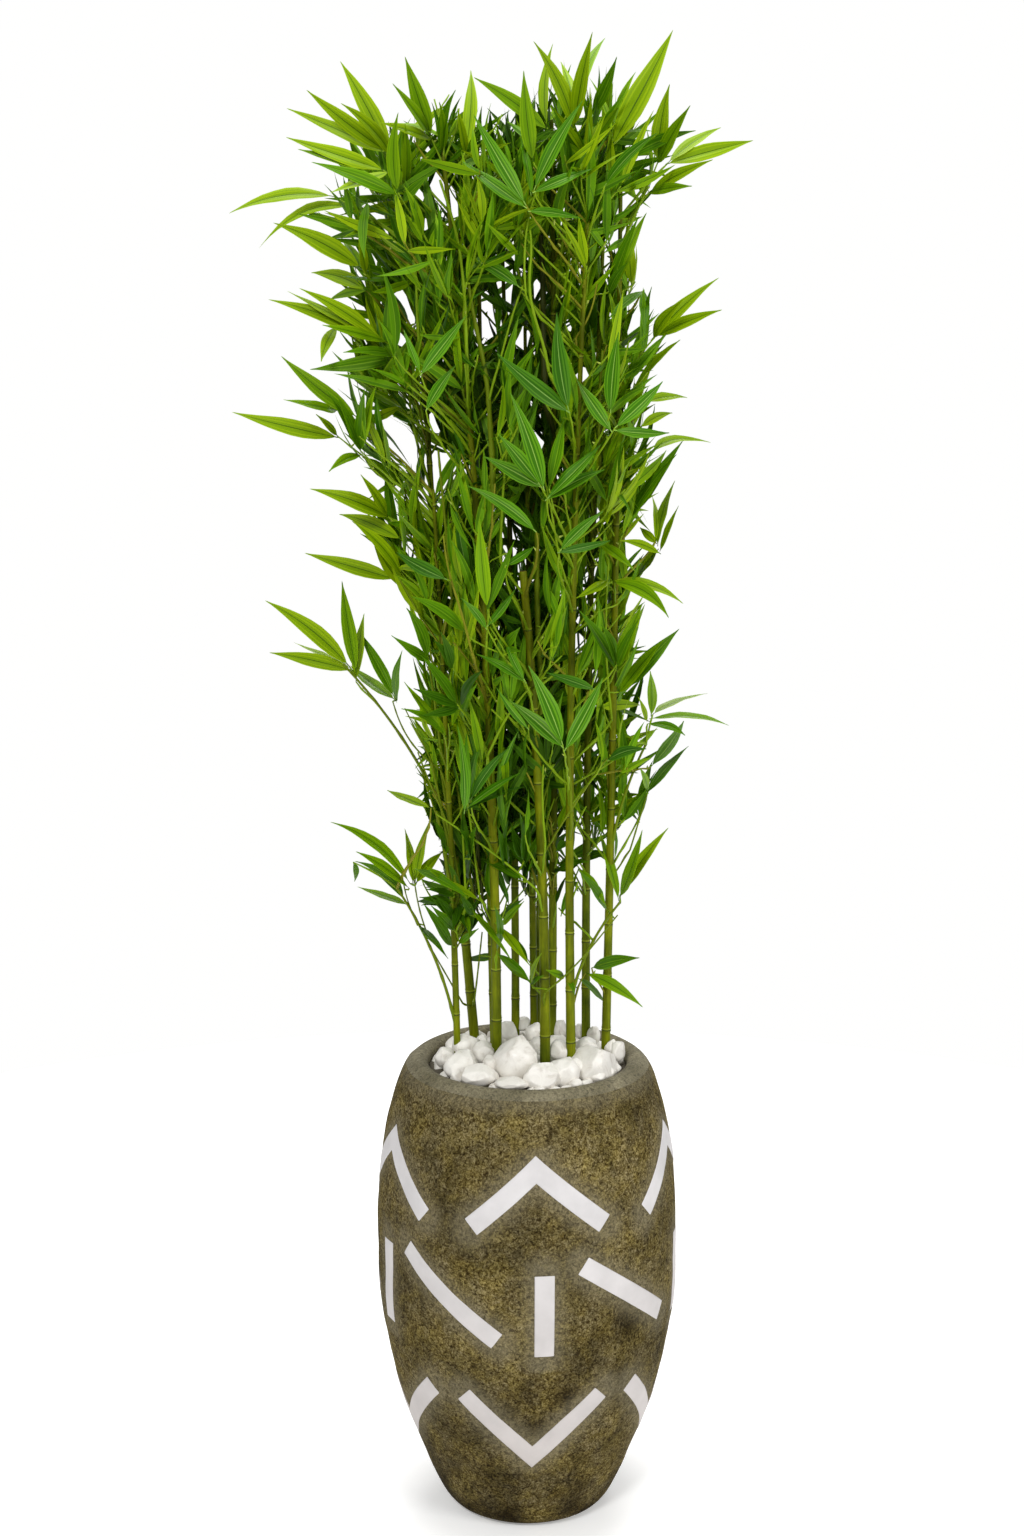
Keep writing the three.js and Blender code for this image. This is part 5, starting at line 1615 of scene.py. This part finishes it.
FIRST_BRANCH = {"cane_01": 0.99, "cane_03": 1.02, "cane_05": 0.9, "cane_07": 0.97, "cane_08": 0.9, "cane_09": 0.95,
                "cane_10": 0.91, "cane_11": 0.95, "cane_06": 0.9, "cane_04": 0.9, "cane_12": 0.9, "cane_02": 0.92}
for cane in canes.values():
    turn = rng.uniform(0, 6.28)
    z = FIRST_BRANCH[cane.name] + rng.uniform(0, 0.04)
    while z < cane.height - 0.035:
        for _ in range(2 if rng.random() < 0.62 else 1):
            turn += math.radians(137.5 + rng.uniform(-25, 25))
            away = cane.at(z) - middle(z)
            outward = math.atan2(away[1], away[0])
            lean = (turn - outward + math.pi) % (2 * math.pi) - math.pi
            bearing = outward + lean * 0.62
            rise = math.radians(rng.uniform(34, 62))
            branch(cane, z, bearing, rise, rng.uniform(0.07, 0.22))
        z += rng.uniform(0.052, 0.078)
    if cane.name != "cane_07":
        top = cane.at(cane.height)
        grown_spray(top, unit(np.array([rng.gauss(0, 0.12), rng.gauss(0, 0.12), 1.0])), 6, 0.112)

# Shoots between the branches, wherever the crown is still thin.
homes = [r[10] for r in leaves]
filled = np.array(homes)


def infill(pick, gap_at, axis_at, sizes, patience, tones=(None,)):
    """Adds shoots at picked spots that are no nearer than the gap to another."""
    global filled
    misses = 0
    while misses < patience:
        p = pick()
        if p is None:
            continue
        if np.linalg.norm(filled - p, axis=1).min() < gap_at(p):
            misses += 1
            continue
        axis = axis_at(p)
        start = p - axis * 0.05
        if open_map[cells(to_mid(start))]:
            misses += 1
            continue
        mark = len(leaves)
        filled = np.vstack([filled, p])
        if grown_spray(start, axis, rng.choice((4, 5, 5, 6)), rng.uniform(*sizes), rng.choice(tones)):
            if not join_to_limb(start, axis, None, False):
                del leaves[mark:]


def edge_spot():
    z = rng.uniform(0.98, 1.9)
    lo, hi = np.interp(z, OUTLINE[:, 0], OUTLINE[:, 1]), np.interp(z, OUTLINE[:, 0], OUTLINE[:, 2])
    half = (hi - lo) / 2
    left = rng.random() < 0.62
    if z > 1.6 and rng.random() < (0.5 if left else 0.3):
        return None
    u = rng.uniform(0.55, 0.92)
    x = (lo + hi) / 2 + (-u if left else u) * half
    return np.array([x, rng.uniform(-0.09, 0.07), z])


def edge_axis(p):
    way = -1.0 if p[0] < middle(p[2])[0] else 1.0
    return unit(np.array([way * rng.uniform(0.5, 1.3), rng.uniform(-0.35, 0.25), rng.uniform(0.55, 1.1)]))


def body_spot():
    p = np.array([rng.uniform(-0.32, 0.24), rng.uniform(-0.2, 0.21), rng.uniform(0.935, 1.94)])
    return None if reach_share(p)[0] > 0.9 else p


def body_gap(p):
    if p[1] < 0.01 and p[2] < 1.62 and abs(p[0] - middle(p[2])[0]) < 0.13:
        return INFILL_GAP * 1.4
    return INFILL_GAP


def body_axis(p):
    out = p - middle(p[2])
    out[2] = 0.0
    return unit(out * rng.uniform(1.5, 4.5) + np.array([0.0, 0.0, rng.uniform(0.5, 1.0)]) + nrng.normal(0, 0.25, 3))


def low_spot():
    return np.array([rng.uniform(-0.125, 0.045), rng.uniform(-0.01, 0.12), rng.uniform(0.905, 1.03)])


def low_axis(p):
    return unit(np.array([rng.gauss(0, 0.5), rng.gauss(0, 0.4), rng.choice((1.0, 0.8, -0.8))]))


# Painted light and shade: lighter tones for shoots at the outline, darker ones for shoots low in the middle.
infill(edge_spot, lambda p: 0.026, edge_axis, (0.094, 0.126), 350, ("lime", "spring", "spring", "mid"))
infill(low_spot, lambda p: 0.021, low_axis, (0.08, 0.105), 220, ("leaf", "deep", "deep", "dark", "mid"))
infill(body_spot, body_gap, body_axis, (0.08, 0.112), 900)

# -------------------------------------------------------------- leaf meshes
def breadth_along(blade):
    along = np.concatenate([[0.0], 0.05 + 0.95 * blade])
    breadth = np.concatenate([[0.0], np.sin(np.pi * np.clip(blade, 0, 1) ** 0.68) ** 1.12])
    breadth[-1] = 0.0
    return along, breadth


# Two makes of leaf: one with fine streaks for the sprays at the face, and one
# with fewer faces for the rest. Each: stations along, breadths, lines across,
# ridge heights, and the part each strip belongs to.
# Part 3 is painted light: lighter streaks standing in for sheen on the fine leaf, the lighter half on one side of the
# fold on the coarse one.
FINE = breadth_along(np.array([0.0, 0.03, 0.09, 0.18, 0.29, 0.41, 0.53, 0.65, 0.76, 0.86, 0.93, 0.975, 1.0])) + (
    np.array([-1.0, -0.86, -0.66, -0.52, -0.32, -0.06, 0.0, 0.06, 0.32, 0.52, 0.66, 0.86, 1.0]),
    np.array([0.0, 1.0, -0.8, 0.6, -0.8, 0.4, 1.2, 0.4, -0.8, 0.6, -0.8, 1.0, 0.0]),
    np.array([1, 0, 3, 0, 0, 2, 2, 0, 3, 0, 3, 1]),
)
COARSE = breadth_along(np.array([0.0, 0.05, 0.15, 0.29, 0.44, 0.6, 0.76, 0.9, 1.0])) + (
    np.array([-1.0, -0.78, -0.07, 0.07, 0.78, 1.0]),
    np.array([0.0, 1.0, 0.6, 0.6, 1.0, 0.0]),
    np.array([1, 0, 2, 3, 1]),
)


def leaf_grid(rows, make):
    ALONG, BREADTH, ACROSS, RIDGE, part = make
    P = np.array([r[0] for r in rows])
    T = np.array([r[1] for r in rows])
    N = np.array([r[2] for r in rows])
    W, B, K, TW, F, PH = (np.array([r[i] for r in rows]) for i in (3, 4, 5, 6, 7, 8))
    tone = np.array([r[9] for r in rows])
    chord = T - P
    L = np.linalg.norm(chord, axis=1)
    d = chord / L[:, None]
    N = N - d * np.sum(N * d, axis=1, keepdims=True)
    N /= np.linalg.norm(N, axis=1, keepdims=True)
    S = np.cross(d, N)
    B = np.where(np.abs(B) < 0.02, 0.02, B)[:, None]
    s = ALONG[None, :]
    xs = (np.sin(B / 2) - np.sin(B * (0.5 - s))) / B
    ys = (np.cos(B * (0.5 - s)) - np.cos(B / 2)) / B
    k = (L / (2 * np.sin(B[:, 0] / 2) / B[:, 0]))[:, None]
    centre = P[:, None] + (xs * k)[..., None] * d[:, None] + (ys * k)[..., None] * N[:, None]
    centre = centre + (K[:, None] * L[:, None] * 4 * s * (1 - s))[..., None] * S[:, None]
    a = B * (0.5 - s)
    normal = -np.sin(a)[..., None] * d[:, None] + np.cos(a)[..., None] * N[:, None]
    twist = (TW[:, None] * (s - 0.4))[..., None]
    side = np.cos(twist) * S[:, None] + np.sin(twist) * normal
    up = -np.sin(twist) * S[:, None] + np.cos(twist) * normal
    half = np.maximum(W[:, None] / 2 * BREADTH[None], 0.00075)
    half[:, -1] = 0.00012
    t = ACROSS[None, None, :]
    h = half[..., None]
    rise = np.abs(t) * h * np.tan(F)[:, None, None] - 0.55 * h * t * t * np.tan(F)[:, None, None]
    rise = rise + RIDGE[None, None, :] * np.minimum(0.00022, h * 0.05)
    wave = np.sin(s * 17.0 + PH[:, None])[..., None] * np.abs(t) ** 2 * h * 0.055
    wave = wave + np.sin(s * 9.0 + PH[:, None] * 2)[..., None] * t * h * 0.05
    verts = centre[:, :, None] + side[:, :, None] * (t * h)[..., None] + up[:, :, None] * (rise + wave)[..., None]
    n, r, c = verts.shape[:3]
    i = np.arange(r - 1)[:, None] * c + np.arange(c - 1)[None, :]
    cell = np.stack([i, i + 1, i + c + 1, i + c], -1).reshape(-1, 4)
    quads = (cell[None] + (np.arange(n) * r * c)[:, None, None]).reshape(-1, 4)
    grid = np.broadcast_to(part, (r - 1, c - 1)).copy()
    grid[0, :] = 2
    index = (tone[:, None, None] * 4 + grid[None]).reshape(-1)
    return verts.reshape(-1, 3), quads, index


def leaf_mesh(name, rows):
    verts, quads, index, count = [], [], [], 0
    for placed, make in ((True, FINE), (False, COARSE)):
        some = [r for r in rows if r[11] == placed]
        if some:
            v, q, m = leaf_grid(some, make)
            verts.append(v)
            quads.append(q + count)
            index.append(m)
            count += len(v)
    index = np.concatenate(index)
    used = sorted(set(index.tolist()))
    remap = np.zeros(len(LEAF_MATS), int)
    remap[used] = np.arange(len(used))
    return make_mesh(name, np.concatenate(verts), np.concatenate(quads), [LEAF_MATS[u] for u in used], remap[index])


names = sorted(centre_of)
C = np.array([centre_of[n] for n in names])
Hs = np.array([half_of[n] for n in names])
# One grown leaf hangs end on in the clear air left of the canes: it is left off.
LOOSE = np.array([-0.1274, 0.0, 0.9497])
leaves = [r for r in leaves if r[11] or float(np.linalg.norm((to_mid((r[0] + r[1]) / 2) - LOOSE)[[0, 2]])) > 0.008]
home = np.array([r[10] for r in leaves])
share = np.linalg.norm((home[:, None] - C[None]) / Hs[None], axis=2)
owner = share.argmin(axis=1)
for i, mass in enumerate(names):
    rows = [leaves[j] for j in np.flatnonzero(owner == i)]
    if not rows:
        rows = [leaves[int(share[:, i].argmin())]]
    piece = leaf_mesh(mass.replace("leaves_", "leaf_sprays_"), rows)
    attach(piece, "root")
    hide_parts(mass)

for level, tubes in twig_sets.items():
    twig_piece = tubes.build("twigs_" + level, TWIG_MATS)
    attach(twig_piece, "root")

# -------------------------------------------------------------------- stage
def stage_disc():
    n, rings = 96, [0.3, 0.7, 1.3, 2.2]
    verts, quads, tris = [(0, 0, 0)], [], []
    for r in rings:
        verts += [(r * math.cos(2 * math.pi * k / n), r * math.sin(2 * math.pi * k / n), 0.0) for k in range(n)]
    for k in range(n):
        tris.append((0, 1 + k, 1 + (k + 1) % n))
        for i in range(len(rings) - 1):
            a, b = 1 + i * n + k, 1 + i * n + (k + 1) % n
            quads.append((a, a + n, b + n, b))
    m, t, b = principled("pale_floor")
    b.inputs["Base Color"].default_value = (0.97, 0.97, 0.965, 1.0)
    b.inputs["Roughness"].default_value = 0.85
    b.inputs["Specular IOR Level"].default_value = 0.1
    # Painted light: the floor glows faintly, which washes out the shadows cast on it.
    b.inputs["Emission Color"].default_value = (1.0, 1.0, 0.995, 1.0)
    b.inputs["Emission Strength"].default_value = 0.22
    return make_mesh("floor", verts, quads, [m], None, tris)


WORLD_LIGHT = 0.46
floor = stage_disc()
world = bpy.data.worlds.new("studio")
bpy.context.scene.world = world
world.use_nodes = True
tree = world.node_tree
light = tree.nodes["Background"]
light.inputs["Color"].default_value = (1.0, 1.0, 0.995, 1.0)
light.inputs["Strength"].default_value = WORLD_LIGHT
seen = tree.nodes.new("ShaderNodeBackground")
seen.inputs["Color"].default_value = (1.0, 1.0, 0.995, 1.0)
path = tree.nodes.new("ShaderNodeLightPath")
choose = tree.nodes.new("ShaderNodeMixShader")
tree.links.new(path.outputs["Is Camera Ray"], choose.inputs["Fac"])
tree.links.new(light.outputs["Background"], choose.inputs[1])
tree.links.new(seen.outputs["Background"], choose.inputs[2])
tree.links.new(choose.outputs["Shader"], tree.nodes["World Output"].inputs["Surface"])


def area(name, where, target, size, power, colour=(1.0, 1.0, 1.0)):
    data = bpy.data.lights.new(name, "AREA")
    data.shape, data.size, data.energy, data.color = "DISK", size, power, colour
    o = bpy.data.objects.new(name, data)
    o.location = where
    o.rotation_euler = (Vector(target) - Vector(where)).to_track_quat("-Z", "Y").to_euler()
    bpy.context.scene.collection.objects.link(o)


area("key", (-1.3, -3.9, 3.5), (0.0, 0.0, 1.1), 1.1, 102.0)
area("fill", (2.8, -2.8, 2.2), (0.0, 0.0, 1.2), 1.8, 66.0)
area("top", (0.0, 0.3, 4.6), (0.0, 0.0, 0.0), 2.6, 120.0)
area("back", (0.8, 3.6, 3.2), (0.0, 0.0, 1.2), 2.2, 45.0)
